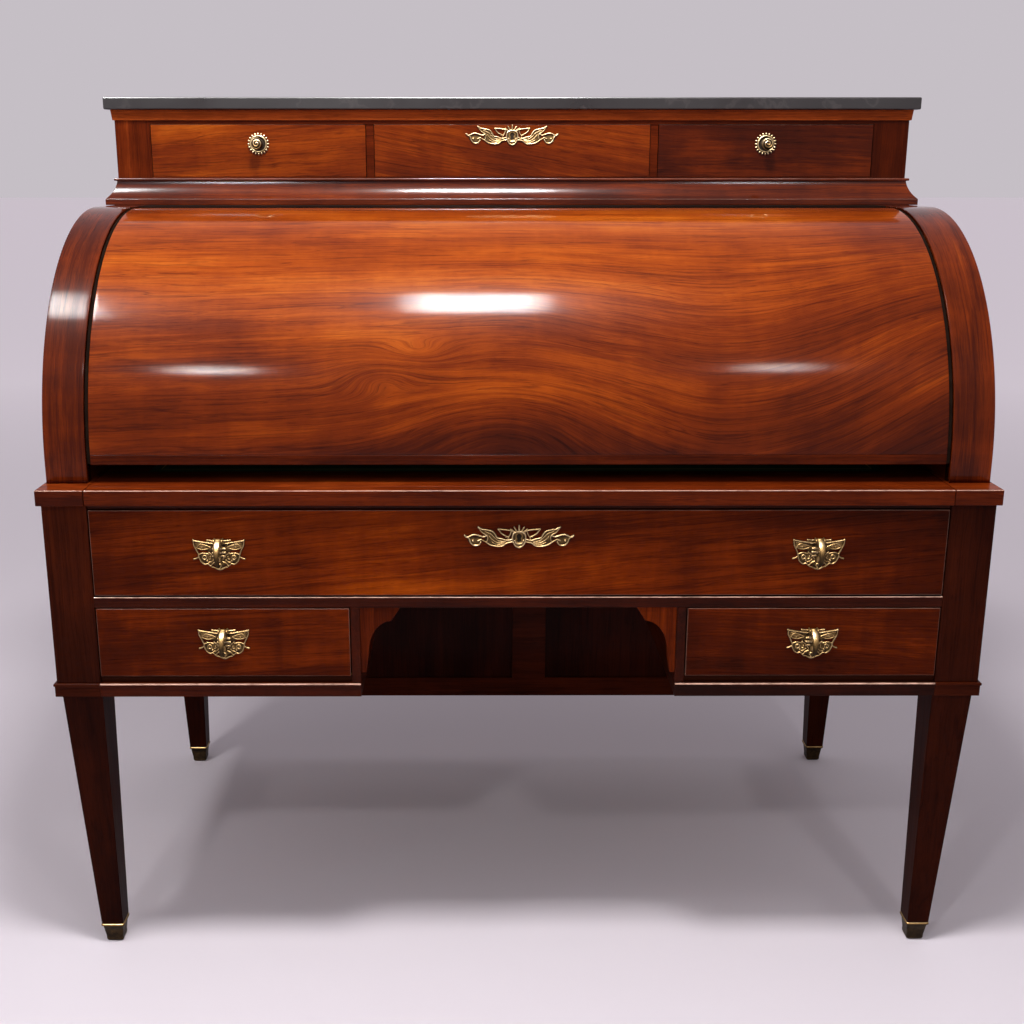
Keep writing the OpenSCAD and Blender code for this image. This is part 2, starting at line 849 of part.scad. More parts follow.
box_inset = 2;
box_drop = 10;
long_half = post_in - end_gap;
short_x = [pedestal_in + end_gap, post_in - end_gap];
short_left_x = [-short_x[1], -short_x[0]];
outer_bay_x = [bay_in + end_gap / 2, bay_out - end_gap / 2];
left_bay_x = [-outer_bay_x[1], -outer_bay_x[0]];
middle_bay_x = [end_gap / 2 - middle_half, middle_half - end_gap / 2];

function inset(x) = [x[0] + box_inset, x[1] - box_inset];

module case_front(x, low, top) { drawer_front(x, 0, [low, top], front_t); }
module case_box(x, low, top) { drawer_box(inset(x), front_t, box_back, low, top - box_drop); }
module gradin_face(x) {
    drawer_front(x, gradin_front, [gradin_low, gradin_top], gradin_front_t);
}
module gradin_box(x) {
    drawer_box(inset(x), gradin_front + gradin_front_t, gradin_box_back, gradin_low,
               gradin_top - box_drop);
}

module long_drawer_front() { case_front([-long_half, long_half], long_low, long_top); }
module long_drawer_box() { case_box([-long_half, long_half], long_low, long_top); }
module short_left_front() { case_front(short_left_x, short_low, short_top); }
module short_left_box() { case_box(short_left_x, short_low, short_top); }
module short_right_front() { case_front(short_x, short_low, short_top); }
module short_right_box() { case_box(short_x, short_low, short_top); }
module gradin_left_front() { gradin_face(left_bay_x); }
module gradin_left_box() { gradin_box(left_bay_x); }
module gradin_middle_front() { gradin_face(middle_bay_x); }
module gradin_middle_box() { gradin_box(middle_bay_x); }
module gradin_right_front() { gradin_face(outer_bay_x); }
module gradin_right_box() { gradin_box(outer_bay_x); }

// ---- Brass ----

// Puts a piece drawn flat, with +Z out of the drawer front, at a place on the front.
module on_front(x, y, z) { translate([x, y, z]) rotate([90, 0, 0]) children(); }

// A pierced plate like a bat with open wings: a tip at each top corner, a spur at each side,
// a nose at the foot, and a raised bar at the head for the ears.
module wing_plate() {
    w = plate_w / 2;
    h = plate_h / 2;
    tip = plate_h * 0.045;
    linear_extrude(plate_t) difference() {
        union() {
            for (s = [-1, 1]) {
                polygon([[0, h * 0.84], [s * w * 0.8, h * 0.84], [s * (w - tip), h - tip],
                         [s * w * 0.86, h * 0.1], [s * w * 0.86, -h * 0.2],
                         [s * w * 0.76, -h * 0.64], [s * w * 0.38, -h * 0.74], [0, -h * 0.84]]);
                translate([s * (w - tip), h - tip]) circle(tip, $fn = round_fn);
                translate([s * (w - tip), -h * 0.22]) circle(tip, $fn = round_fn);
                translate([s * (w * 0.92 - tip / 2), -h * 0.22])
                    square([w * 0.16 + tip, tip * 1.2], center = true);
            }
            translate([0, -h * 0.78]) circle(h * 0.22, $fn = round_fn);
            translate([-w * 0.4, 0]) square([w * 0.8, h * 0.96]);
        }
        for (s = [-1, 1]) {
            translate([s * w * 0.7, -h * 0.14]) circle(h * 0.15, $fn = round_fn);
            translate([s * w * 0.66, h * 0.32]) circle(h * 0.11, $fn = round_fn);
            translate([s * w * 0.4, -h * 0.3]) circle(h * 0.12, $fn = round_fn);
        }
    }
}

// The two ears of a pull and the pin across them.
ear_t = 3;
ear_r = 4.5;
ear_gap = 0.3;

module pull_ears() {
    start = drop_w / 2 + ear_gap;
    for (s = [-1, 1]) translate([s * (start + ear_t / 2), pull_pin_z, plate_t])
        translate([-ear_t / 2, -ear_r, 0]) cube([ear_t, ear_r * 2, pull_pin_y - plate_t + ear_r]);
    translate([-start, pull_pin_z, pull_pin_y]) rotate([0, 90, 0])
        cylinder(h = start * 2, r = pin_r, $fn = round_fn);
}

module pull_mount(x, z) {
    color(brass) placed() on_front(x, 0, z) {
        wing_plate();
        pull_ears();
    }
}

// The loop of a pull: half a ring that bows out from its eye to below the plate's middle.
module pull_drop(x, z) {
    color(brass) placed() on_front(x, 0, z) difference() {
        translate([-drop_w / 2, 0, 0]) rotate([90, 0, 90]) linear_extrude(drop_w) {
            intersection() {
                translate([drop_rise, drop_stand]) difference() {
                    circle(drop_r, $fn = 96);
                    circle(drop_r - drop_t, $fn = 96);
                }
                translate([drop_rise - drop_r - 1, drop_stand])
                    square([drop_r * 2 + 2, drop_r + 1]);
            }
            translate([pull_pin_z, pull_pin_y]) circle(ear_r, $fn = round_fn);
        }
        translate([-drop_w, pull_pin_z, pull_pin_y]) rotate([0, 90, 0])
            cylinder(h = drop_w * 2, r = pin_r + pivot_play, $fn = round_fn);
    }
}

module long_drawer_plates() {
    pull_mount(-pull_x, long_pull_z);
    pull_mount(pull_x, long_pull_z);
}
module long_pull_left() { pull_drop(-pull_x, long_pull_z); }
module long_pull_right() { pull_drop(pull_x, long_pull_z); }
module short_left_plate() { pull_mount(-pull_x, short_pull_z); }
module short_left_pull() { pull_drop(-pull_x, short_pull_z); }
module short_right_plate() { pull_mount(pull_x, short_pull_z); }
module short_right_pull() { pull_drop(pull_x, short_pull_z); }

// One wing of a keyhole plate, from the shield to the scroll at its end.
module key_wing() {
    w = key_plate_w;
    h = key_plate_h;
    feather = [[0.12, -0.16, 0.17], [0.18, -0.2, 0.2], [0.23, -0.12, 0.2], [0.27, 0, 0.18],
               [0.31, 0.14, 0.15], [0.34, 0.27, 0.11], [0.36, 0.38, 0.08]];
    scroll_r = h * 0.25;
    for (f = feather) translate([w * f[0], h * f[1]]) circle(h * f[2], $fn = round_fn);
    translate([w * 0.49 - scroll_r, -h * 0.06]) difference() {
        circle(scroll_r, $fn = round_fn);
        circle(scroll_r * 0.55, $fn = round_fn);
    }
    translate([w * 0.27, -h * 0.1]) square([w * 0.12, h * 0.09]);
    translate([w / 2 - h * 0.06, h * 0.08]) circle(h * 0.06, $fn = round_fn);
}

// A keyhole plate: a shield with a ray above it and a feathered, scrolled wing at each side.
module key_plate() {
    shield = key_plate_h * 0.36;
    ray = key_plate_h * 0.08;
    linear_extrude(plate_t) difference() {
        union() {
            translate([0, shield - key_plate_h / 2]) circle(shield, $fn = round_fn);
            translate([-ray / 2, 0]) square([ray, key_plate_h / 2]);
            key_wing();
            mirror([1, 0]) key_wing();
        }
        circle(3, $fn = round_fn);
        translate([-1.2, -8]) square([2.4, 8]);
    }
}

module long_drawer_escutcheon() {
    color(brass) placed() on_front(0, 0, long_key_z) key_plate();
}
module gradin_middle_escutcheon() {
    color(brass) placed() on_front(0, gradin_front, gradin_key_z) key_plate();
}

// A lock behind a drawer front, with the pin that the key turns on.
module lock_case(y, z) {
    lock_w = 76;
    lock_low = 24;
    lock_high = 16;
    lock_t = 12;
    color([0.5, 0.5, 0.5]) placed() {
        span([-lock_w / 2, lock_w / 2], [y, y + lock_t], [z - lock_low, z + lock_high]);
        translate([0, y + 1, z]) rotate([90, 0, 0]) cylinder(h = 1, r = 2, $fn = round_fn);
    }
}

module long_drawer_lock() { lock_case(front_t, long_key_z); }
module gradin_middle_lock() { lock_case(gradin_front + gradin_front_t, gradin_key_z); }

// A turned knob that stands on the plane through its origin and points to -Y.
module turned_knob(r, length) {
    rotate([90, 0, 0]) rotate_extrude($fn = round_fn) {
        square([r * 0.45, length - r * 0.6]);
        intersection() {
            translate([0, length - r * 0.75]) circle(r, $fn = round_fn);
            translate([0, length - r * 1.3]) square([r, r * 1.3]);
        }
    }
}

// A knob on a rosette that has a ring of beads round its edge.
module gradin_knob(x) {
    rosette_t = 4;
    bead = rosette_r * PI / rosette_beads;
    color(brass) placed() translate([x, gradin_front, knob_z]) {
        rotate([90, 0, 0]) linear_extrude(rosette_t) {
            circle(rosette_r - bead, $fn = round_fn);
            for (i = [1:rosette_beads]) rotate(i * 360 / rosette_beads)
                translate([rosette_r - bead, 0]) circle(bead, $fn = round_fn);
        }
        translate([0, -rosette_t, 0]) turned_knob(knob_r, knob_d - rosette_t);
    }
}

module gradin_left_knob() { gradin_knob(-knob_x); }
module gradin_right_knob() { gradin_knob(knob_x); }

front_left_leg();
front_right_leg();
rear_left_leg();
rear_right_leg();
sabots();
leg_collars();
side_panels();
bottom_rails();
pedestal_floors();
kneehole_sides();
kneehole_brackets();
front_rails();
dust_boards();
back_frame();
back_panels();
ledge_frame();
quadrant_band_left();
quadrant_band_right();
quadrant_walls();
pivot_bushes();
cylinder_top_rail();
gradin_carcass();
base_moulding();
cornice();
marble_top();
interior_nest();
cylinder_panel();
cylinder_lip();
cylinder_arm_left();
cylinder_arm_right();
slide_board();
slide_edge();
slide_leather();
long_drawer_front();
long_drawer_box();
long_drawer_plates();
long_drawer_escutcheon();
long_drawer_lock();
long_pull_left();
long_pull_right();
short_left_front();
short_left_box();
short_left_plate();
short_left_pull();
short_right_front();
short_right_box();
short_right_plate();
short_right_pull();
gradin_left_front();
gradin_left_box();
gradin_left_knob();
gradin_middle_front();
gradin_middle_box();
gradin_middle_escutcheon();
gradin_middle_lock();
gradin_right_front();
gradin_right_box();
gradin_right_knob();
nest_drawer_left();
nest_drawer_right();
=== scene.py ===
import json
import math
import bmesh
import bpy
import numpy as np
from mathutils import Matrix, Vector


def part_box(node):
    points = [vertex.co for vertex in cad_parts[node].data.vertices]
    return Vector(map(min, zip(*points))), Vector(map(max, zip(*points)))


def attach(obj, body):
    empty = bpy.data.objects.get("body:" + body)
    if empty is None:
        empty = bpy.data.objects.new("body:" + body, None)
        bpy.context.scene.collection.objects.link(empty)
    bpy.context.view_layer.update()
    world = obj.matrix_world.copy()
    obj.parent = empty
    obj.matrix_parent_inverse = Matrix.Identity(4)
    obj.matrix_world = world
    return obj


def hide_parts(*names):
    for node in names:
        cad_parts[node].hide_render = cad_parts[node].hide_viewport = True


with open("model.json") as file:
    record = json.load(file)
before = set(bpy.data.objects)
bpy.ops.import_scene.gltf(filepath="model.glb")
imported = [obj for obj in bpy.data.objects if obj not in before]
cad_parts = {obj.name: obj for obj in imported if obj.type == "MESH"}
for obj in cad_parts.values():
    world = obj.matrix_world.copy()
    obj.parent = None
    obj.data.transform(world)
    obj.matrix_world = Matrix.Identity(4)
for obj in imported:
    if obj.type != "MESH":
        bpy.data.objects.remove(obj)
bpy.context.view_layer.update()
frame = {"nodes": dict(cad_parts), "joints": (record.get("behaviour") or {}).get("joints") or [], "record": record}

scene = bpy.context.scene
record = frame["record"]
body_of = {node: body for body, nodes in record["behaviour"]["bodies"].items() for node in nodes}
slot_of = {part["node"]: part["material_slot"] for part in record["subparts"]}
MM = 0.001

# ---------------- camera, light and floor

def set_camera():
    """A slightly long lens over the desk's height, looking down at it."""
    data = bpy.data.cameras.new("camera")
    data.lens, data.sensor_width = 45.13, 36
    data.shift_x, data.shift_y = 0.0292, 0.0037
    camera = bpy.data.objects.new("camera", data)
    scene.collection.objects.link(camera)
    place = Matrix.Translation((-0.0597, -2.1515, 1.1988))
    pan = Matrix.Rotation(math.radians(-0.19), 4, "Z")
    tilt = Matrix.Rotation(math.radians(90 - 15.02), 4, "X")
    camera.matrix_world = place @ pan @ tilt
    scene.camera = camera
    scene.view_settings.view_transform = "Standard"


def ceiling_panel(name, x, y, lit, seen, z=2.8):
    """A flat lamp facing down between these x and y limits: one level as light, one in reflections."""
    for part, radiance in (("light", lit), ("shine", seen)):
        data = bpy.data.lights.new(name + "_" + part, "AREA")
        data.shape = "RECTANGLE"
        data.size = x[1] - x[0]
        data.size_y = y[1] - y[0]
        data.energy = radiance * math.pi * data.size * data.size_y
        lamp = bpy.data.objects.new(name + "_" + part, data)
        lamp.location = ((x[0] + x[1]) / 2, (y[0] + y[1]) / 2, z)
        lamp.visible_glossy = part == "shine"
        lamp.visible_diffuse = part == "light"
        scene.collection.objects.link(lamp)


def seen_directly(tree):
    """1 for the rays of the camera, gloss and glass, 0 for those that carry light."""
    path = tree.nodes.new("ShaderNodeLightPath")
    value = path.outputs["Is Camera Ray"]
    for ray in ("Is Glossy Ray", "Is Transmission Ray"):
        either = tree.nodes.new("ShaderNodeMath")
        either.operation = "MAXIMUM"
        tree.links.new(value, either.inputs[0])
        tree.links.new(path.outputs[ray], either.inputs[1])
        value = either.outputs[0]
    return value


def set_world(lit, seen):
    """A uniform pale room: one colour as light, one for what the camera and gloss see."""
    world = bpy.data.worlds.new("studio")
    world.use_nodes = True
    tree = world.node_tree
    tree.nodes.clear()
    out = tree.nodes.new("ShaderNodeOutputWorld")
    mix = tree.nodes.new("ShaderNodeMixShader")
    tree.links.new(seen_directly(tree), mix.inputs[0])
    for socket, colour in zip(mix.inputs[1:], (lit, seen)):
        room = tree.nodes.new("ShaderNodeBackground")
        room.inputs["Color"].default_value = (*colour, 1)
        tree.links.new(room.outputs[0], socket)
    tree.links.new(mix.outputs[0], out.inputs["Surface"])
    scene.world = world


def floor(near, far, glow, half=60, fade=(1.2, 6.0)):
    """A pale floor that evens out towards the room's own tone between these distances from the desk."""
    bm = bmesh.new()
    bmesh.ops.create_grid(bm, x_segments=8, y_segments=8, size=half)
    data = bpy.data.meshes.new("floor")
    bm.to_mesh(data)
    bm.free()
    plane = bpy.data.objects.new("floor", data)
    scene.collection.objects.link(plane)
    paint = Paint("floor", roughness=0.9, specular=0.1)
    away = paint.range(paint.vector("LENGTH", paint.position()), *fade)
    paint.set("Base Color", paint.mix(near, far, away))
    paint.set("Emission Color", glow)
    paint.set("Emission Strength", paint.maths("MULTIPLY", seen_directly(paint.tree), away))
    data.materials.append(paint.material)


# ---------------- materials

class Paint:
    """A Principled material under construction."""

    def __init__(self, name, roughness=0.5, specular=0.5, metallic=0.0, coat=0.0, polish=(0.05, 1.4)):
        """The polish is the coat's roughness and index of refraction."""
        self.material = bpy.data.materials.new(name)
        self.material.use_nodes = True
        self.tree = self.material.node_tree
        self.tree.nodes.clear()
        self.shader = self.tree.nodes.new("ShaderNodeBsdfPrincipled")
        out = self.tree.nodes.new("ShaderNodeOutputMaterial")
        self.tree.links.new(self.shader.outputs[0], out.inputs["Surface"])
        for socket, value in {"Roughness": roughness, "Specular IOR Level": specular,
                              "Metallic": metallic, "Coat Weight": coat,
                              "Coat Roughness": polish[0], "Coat IOR": polish[1]}.items():
            self.set(socket, value)

    def put(self, socket, value):
        if isinstance(value, bpy.types.NodeSocket):
            self.tree.links.new(value, socket)
        elif socket.type == "RGBA":
            socket.default_value = (*value, 1)
        else:
            socket.default_value = value

    def set(self, name, value):
        self.put(self.shader.inputs[name], value)

    def position(self):
        return self.tree.nodes.new("ShaderNodeTexCoord").outputs["Object"]

    def attribute(self, name, output="Vector"):
        node = self.tree.nodes.new("ShaderNodeAttribute")
        node.attribute_name = name
        return node.outputs[output]

    def vector(self, operation, a, b=(0, 0, 0)):
        node = self.tree.nodes.new("ShaderNodeVectorMath")
        node.operation = operation
        self.put(node.inputs[0], a)
        self.put(node.inputs[1], b)
        return node.outputs["Value" if operation == "LENGTH" else "Vector"]

    def scaled(self, vector, scale):
        return self.vector("MULTIPLY", vector, scale)

    def moved(self, vector, by):
        return self.vector("ADD", vector, by)

    def noise(self, vector, scale, detail, rough, distortion=0.0):
        node = self.tree.nodes.new("ShaderNodeTexNoise")
        self.put(node.inputs["Vector"], vector)
        for socket, value in (("Scale", scale), ("Detail", detail), ("Roughness", rough),
                              ("Distortion", distortion)):
            node.inputs[socket].default_value = value
        return node.outputs["Fac"]

    def maths(self, operation, a, b=0.0, c=0.0):
        node = self.tree.nodes.new("ShaderNodeMath")
        node.operation = operation
        for socket, value in zip(node.inputs, (a, b, c)):
            self.put(socket, value)
        return node.outputs[0]

    def off(self, value, middle=0.5):
        """How far a value is from this middle."""
        return self.maths("ABSOLUTE", self.maths("SUBTRACT", value, middle))

    def sum(self, *terms):
        """The sum of (value, weight) terms, each value taken about its middle of 0.5."""
        total = None
        for value, weight in terms:
            offset = -0.5 * weight if total is None else self.maths("SUBTRACT", total, 0.5 * weight)
            total = self.maths("MULTIPLY_ADD", value, weight, offset)
        return total

    def ramp(self, value, stops):
        node = self.tree.nodes.new("ShaderNodeValToRGB")
        points = node.color_ramp.elements
        while len(points) < len(stops):
            points.new(1.0)
        for point, (place, colour) in zip(points, stops):
            point.position = place
            point.color = (*colour, 1)
        self.put(node.inputs[0], value)
        return node.outputs[0]

    def range(self, value, from_low, from_high, to_low=0.0, to_high=1.0):
        node = self.tree.nodes.new("ShaderNodeMapRange")
        for socket, number in zip(node.inputs, (value, from_low, from_high, to_low, to_high)):
            self.put(socket, number)
        return node.outputs[0]

    def mix(self, a, b, factor, mode="MIX"):
        node = self.tree.nodes.new("ShaderNodeMix")
        node.data_type = "RGBA"
        node.blend_type = mode
        self.put(node.inputs[0], factor)
        self.put(node.inputs[6], a)
        self.put(node.inputs[7], b)
        return node.outputs[2]

    def bump(self, height, strength, distance):
        node = self.tree.nodes.new("ShaderNodeBump")
        node.inputs["Strength"].default_value = strength
        node.inputs["Distance"].default_value = distance
        self.put(node.inputs["Height"], height)
        self.put(self.shader.inputs["Normal"], node.outputs[0])


def wood(name, stops, figure=0.16, gloss=1.0, rough=0.35, polish=(0.07, 1.21)):
    """Polished wood whose grain runs along x of the mesh's own "grain" coordinates, in metres. The mesh
    also holds its "tone", where its arrises take a pale painted highlight, patchy like rubbed polish,
    and where a near-black painted shade covers faces that stand in shadow."""
    paint = Paint(name, rough, specular=0.01, coat=gloss, polish=polish)
    grain = paint.attribute("grain")

    def along(place, length, across, detail, roughness, distortion=0.0):
        """Noise with this many changes in a metre of the grain's length, and across it."""
        return paint.noise(paint.scaled(place, (length, across, across)), 1, detail, roughness, distortion)

    bent = grain
    for length, across, detail, sway in ((3, 9, 3, 0.02), (16, 40, 2, 0.0035)):
        wander = along(grain, length, across, detail, 0.5)
        bent = paint.moved(bent, paint.scaled(wander, (0.0, sway, sway)))
    broad = along(bent, 1.1, 9, 3, 0.55)
    flame = along(bent, 4.5, 38, 4, 0.62, 0.3)
    streak = along(bent, 4, 170, 4, 0.65)
    fibre = along(grain, 45, 1300, 2, 0.6)
    cross = along(grain, 26, 6, 3, 0.6, 0.4)
    blotch = paint.noise(grain, 7, 3, 0.6)
    tone = paint.maths("ADD", paint.attribute("tone", "Fac"), 0.5)
    value = paint.sum((broad, 0.7), (flame, 0.42), (streak, 0.34), (fibre, 0.2), (cross, figure),
                      (blotch, 0.4), (tone, 1.0))
    colour = paint.ramp(paint.maths("ADD", value, 0.5), stops)
    # Dark lines run where a noise crosses its middle.
    for length, across, roughness, width, tint in ((1.2, 60, 0.5, 0.02, (0.28, 0.2, 0.2)),
                                                   (2.2, 150, 0.55, 0.035, (0.4, 0.3, 0.3))):
        line = paint.range(paint.off(along(bent, length, across, 2, roughness)), 0.0, width, 0.5, 0.0)
        colour = paint.mix(colour, tint, line, "MULTIPLY")
    pores = paint.range(along(grain, 75, 1900, 1, 0.5), 0.62, 0.72, 0.0, 0.55)
    colour = paint.mix(colour, (0.3, 0.22, 0.2), pores, "MULTIPLY")
    # Painted shade: near black on faces the mesh marks as standing in shadow.
    colour = paint.mix(colour, (0.03, 0.006, 0.002), paint.attribute("painted_shade", "Fac"))
    # Painted highlight: a pale arris line where the mesh marks it, patchy like rubbed polish.
    sheen_and_wear_mask = paint.range(paint.noise(grain, 45, 3, 0.6), 0.3, 0.55, 0.45, 1.0)
    sheen_and_wear_mask = paint.maths("MULTIPLY", sheen_and_wear_mask, paint.attribute("worn", "Fac"))
    paint.set("Base Color", paint.mix(colour, (0.6, 0.36, 0.27), sheen_and_wear_mask))
    paint.set("Roughness", paint.range(streak, 0.3, 0.7, rough - 0.05, rough + 0.08))
    paint.bump(paint.sum((fibre, 0.4), (streak, 0.6)), 0.12, 0.12 * MM)
    return paint.material


FIGURED = [(0.05, (0.018, 0.0023, 0.0004)), (0.3, (0.06, 0.0068, 0.0006)), (0.5, (0.14, 0.0175, 0.0008)),
           (0.7, (0.27, 0.044, 0.0015)), (0.95, (0.44, 0.101, 0.006))]
PLAIN = [(0.05, (0.014, 0.0022, 0.0006)), (0.4, (0.05, 0.006, 0.0008)), (0.65, (0.12, 0.015, 0.0015)),
         (0.95, (0.36, 0.064, 0.008))]
DARK = [(0.05, (0.01, 0.0014, 0.0004)), (0.45, (0.034, 0.005, 0.0012)), (0.95, (0.1, 0.015, 0.003))]
OAK = [(0.1, (0.16, 0.075, 0.028)), (0.5, (0.27, 0.145, 0.06)), (0.95, (0.42, 0.25, 0.12))]
BLACK = [(0.1, (0.004, 0.002, 0.0015)), (0.9, (0.016, 0.007, 0.004))]


def make_materials():
    """One finish for each material slot of the record, and two more polishes of the figured veneer."""
    made = {"gilt_brass": brass(), "black_marble": marble(), "green_leather": leather(),
            "iron": metal("iron", (0.016, 0.009, 0.006), 0.8, metallic=0.0, specular=0.0),
            "lock_steel": metal("lock_steel", (0.32, 0.3, 0.27), 0.38)}
    for name, look in {"figured_mahogany": dict(stops=FIGURED, figure=0.12),
                       "drawer_mahogany": dict(stops=FIGURED, figure=0.22, gloss=0.2),
                       "polished_mahogany": dict(stops=FIGURED, figure=0.1, polish=(0.11, 1.3)),
                       "mahogany": dict(stops=PLAIN, figure=0.1, gloss=0.4),
                       "dark_mahogany": dict(stops=DARK, figure=0.08, gloss=0.15),
                       "oak": dict(stops=OAK, figure=0.05, gloss=0.1, rough=0.6),
                       "black_wood": dict(stops=BLACK, gloss=0.2, rough=0.5)}.items():
        made[name] = wood(name, **look)
    return made


def brass():
    """Antique gilt brass, set by its "relief": dark in the hollows, as patina and painted shade, and bright on the
    crests, as rubbed gilt and painted highlight.
    """
    paint = Paint("gilt_brass", metallic=0.85)
    place = paint.position()
    relief = paint.attribute("relief", "Fac")
    cloud = paint.noise(place, 130, 4, 0.6)
    grit = paint.noise(place, 900, 3, 0.6)
    height = paint.maths("ADD", paint.sum((relief, 1.0), (cloud, 0.45), (grit, 0.25)), 0.5)
    stops = [(0.16, (0.012, 0.0065, 0.0025)), (0.42, (0.078, 0.043, 0.012)), (0.68, (0.22, 0.13, 0.047)),
             (0.95, (0.5, 0.37, 0.21))]
    paint.set("Base Color", paint.ramp(height, stops))
    paint.set("Roughness", paint.range(height, 0.1, 0.9, 0.58, 0.34))
    paint.bump(paint.sum((grit, 0.5), (cloud, 0.5)), 0.25, 0.2 * MM)
    return paint.material


def marble():
    """Black marble, a little cloudy and grained, with faint pale veins."""
    paint = Paint("black_marble")
    place = paint.position()
    cloud = paint.noise(place, 5, 5, 0.6, 0.3)
    warped = paint.moved(place, paint.scaled(cloud, (0.2, 0.2, 0.2)))
    vein = paint.range(paint.off(paint.noise(warped, 3.5, 5, 0.6)), 0.0, 0.012, 0.18, 0.0)
    grain = paint.noise(place, 260, 4, 0.7)
    mottle = paint.sum((cloud, 0.7), (grain, 0.6))
    body = paint.ramp(mottle, [(0.3, (0.014, 0.01, 0.01)), (0.7, (0.046, 0.033, 0.032))])
    paint.set("Base Color", paint.mix(body, (0.12, 0.1, 0.095), vein))
    paint.set("Roughness", paint.range(cloud, 0.3, 0.7, 0.26, 0.36))
    return paint.material


def leather(border=16 * MM, line=(0.8 * MM, 1.3 * MM)):
    """Dark green skiver with a gilt line tooled along its border, found from the mesh's "inset"."""
    paint = Paint("green_leather", specular=0.35)
    place = paint.position()
    cloud = paint.noise(place, 14, 4, 0.6)
    cell = paint.noise(place, 1100, 2, 0.5)
    hide = paint.ramp(cloud, [(0.3, (0.012, 0.024, 0.012)), (0.75, (0.03, 0.055, 0.026))])
    inset = paint.tree.nodes.new("ShaderNodeSeparateXYZ")
    paint.put(inset.inputs[0], paint.attribute("inset"))
    from_edge = paint.maths("MINIMUM", inset.outputs[0], inset.outputs[1])
    gilt = paint.range(paint.off(from_edge, border), *line, 0.8, 0.0)
    paint.set("Base Color", paint.mix(hide, (0.42, 0.28, 0.09), gilt))
    paint.set("Roughness", paint.range(cell, 0.3, 0.7, 0.42, 0.58))
    paint.bump(cell, 0.3, 0.2 * MM)
    return paint.material


def metal(name, colour, rough, metallic=1.0, specular=0.5, dulled=0.45):
    """Metal with cloudy patches, dulled to this share of its colour."""
    paint = Paint(name, rough, specular, metallic=metallic)
    place = paint.position()
    cloud = paint.noise(place, 40, 5, 0.65)
    scale = paint.noise(place, 600, 3, 0.6)
    paint.set("Base Color", paint.ramp(cloud, [(0.3, [c * dulled for c in colour]), (0.7, colour)]))
    paint.set("Roughness", paint.range(cloud, 0.3, 0.7, rough + 0.12, rough - 0.05))
    paint.bump(scale, 0.3, 0.2 * MM)
    return paint.material


# ---------------- pieces over the CAD nodes

covered = set()


def add_piece(node, data, material="gilt_brass"):
    """Links a mesh as the piece that stands for this node."""
    piece = bpy.data.objects.new(node + "_form", data)
    data.name = piece.name
    scene.collection.objects.link(piece)
    data.materials.append(materials[material])
    covered.add(node)
    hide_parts(node)
    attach(piece, body_of[node])
    return piece


def smooth(data):
    data.polygons.foreach_set("use_smooth", np.ones(len(data.polygons), bool))
    data.update()


def islands(bm):
    """The solids of a mesh, each a list of faces."""
    seen, found = set(), []
    for start in bm.faces:
        if start.index in seen:
            continue
        seen.add(start.index)
        group, front = [], [start]
        while front:
            face = front.pop()
            group.append(face)
            for edge in face.edges:
                for other in edge.link_faces:
                    if other.index not in seen:
                        seen.add(other.index)
                        front.append(other)
        found.append(group)
    return found


FACING = 0.7   # a face whose normal has more than this along an axis faces that way
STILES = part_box("gradin_left_front")[0].x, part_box("gradin_right_front")[1].x


def even_cuts(node, count=12):
    """Places that part a node evenly along x."""
    low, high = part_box(node)
    return np.linspace(low.x, high.x, count + 2)[1:-1]


# Each of the next four gives the axis (0, 1 or 2) along which a face's grain runs, from its solid's
# corners, its place and its normal.

def longest_axis(low, high, place, normal):
    size = high - low
    return max(range(3), key=lambda i: size[i])


def frame_axis(low, high, place, normal):
    """Grain of a mitred frame: along x at the front, along y at the ends."""
    return 1 if abs(normal.x) > FACING else 0


def upright_axis(low, high, place, normal):
    return 2


def stile_axis(low, high, place, normal):
    """Grain of the gradin's case: upright on its ends and end stiles, along x elsewhere."""
    stile = abs(normal.y) > FACING and not STILES[0] < place.x < STILES[1]
    return 2 if stile or abs(normal.x) > FACING else 0


def points_of(data):
    return np.array([v.co for v in data.vertices])


def keep_number(data, name, values):
    layer = data.attributes.new(name, "FLOAT", "POINT")
    layer.data.foreach_set("value", np.asarray(values, np.float32))


def keep_vectors(data, name, values, domain="POINT"):
    layer = data.attributes.new(name, "FLOAT_VECTOR", domain)
    layer.data.foreach_set("vector", np.asarray(values, np.float32).ravel())


def keep_grain(data, bm, seed, axis, lean):
    """Gives each face corner its grain place: along, across and deep, in metres, with its own chance
    shift in each solid. A lean tilts the grain as x grows."""
    rng = np.random.default_rng(seed)
    starts = np.cumsum([0] + [len(f.verts) for f in bm.faces])
    grain = np.zeros((starts[-1], 3), np.float32)
    for group in islands(bm):
        shift = rng.uniform(0, 40, 3)
        corners = [v.co for f in group for v in f.verts]
        low, high = (Vector([pick(c[i] for c in corners) for i in range(3)]) for pick in (min, max))
        for face in group:
            main = axis(low, high, face.calc_center_median(), face.normal)
            order = [main] + [i for i in range(3) if i != main]
            for k, loop in enumerate(face.loops):
                co = loop.vert.co
                grain[starts[face.index] + k] = [co[order[i]] + shift[i] for i in range(3)]
                grain[starts[face.index] + k, 2] -= lean * co.x
    keep_vectors(data, "grain", grain, "CORNER")


def keep_tone(data, shade, places, behind=0.0):
    """A piece's shade, with light and dark places: (x, z, half width, half height, amount) in metres.
    What faces the rear is painted lighter by behind: painted light where the lamps, all in front, don't reach."""
    co = points_of(data)
    tone = shade + behind * np.array([v.normal.y > 0.3 for v in data.vertices])
    for *place, amount in places:
        tone += amount * blob(co[:, 0], co[:, 2], *place)
    keep_number(data, "tone", tone)


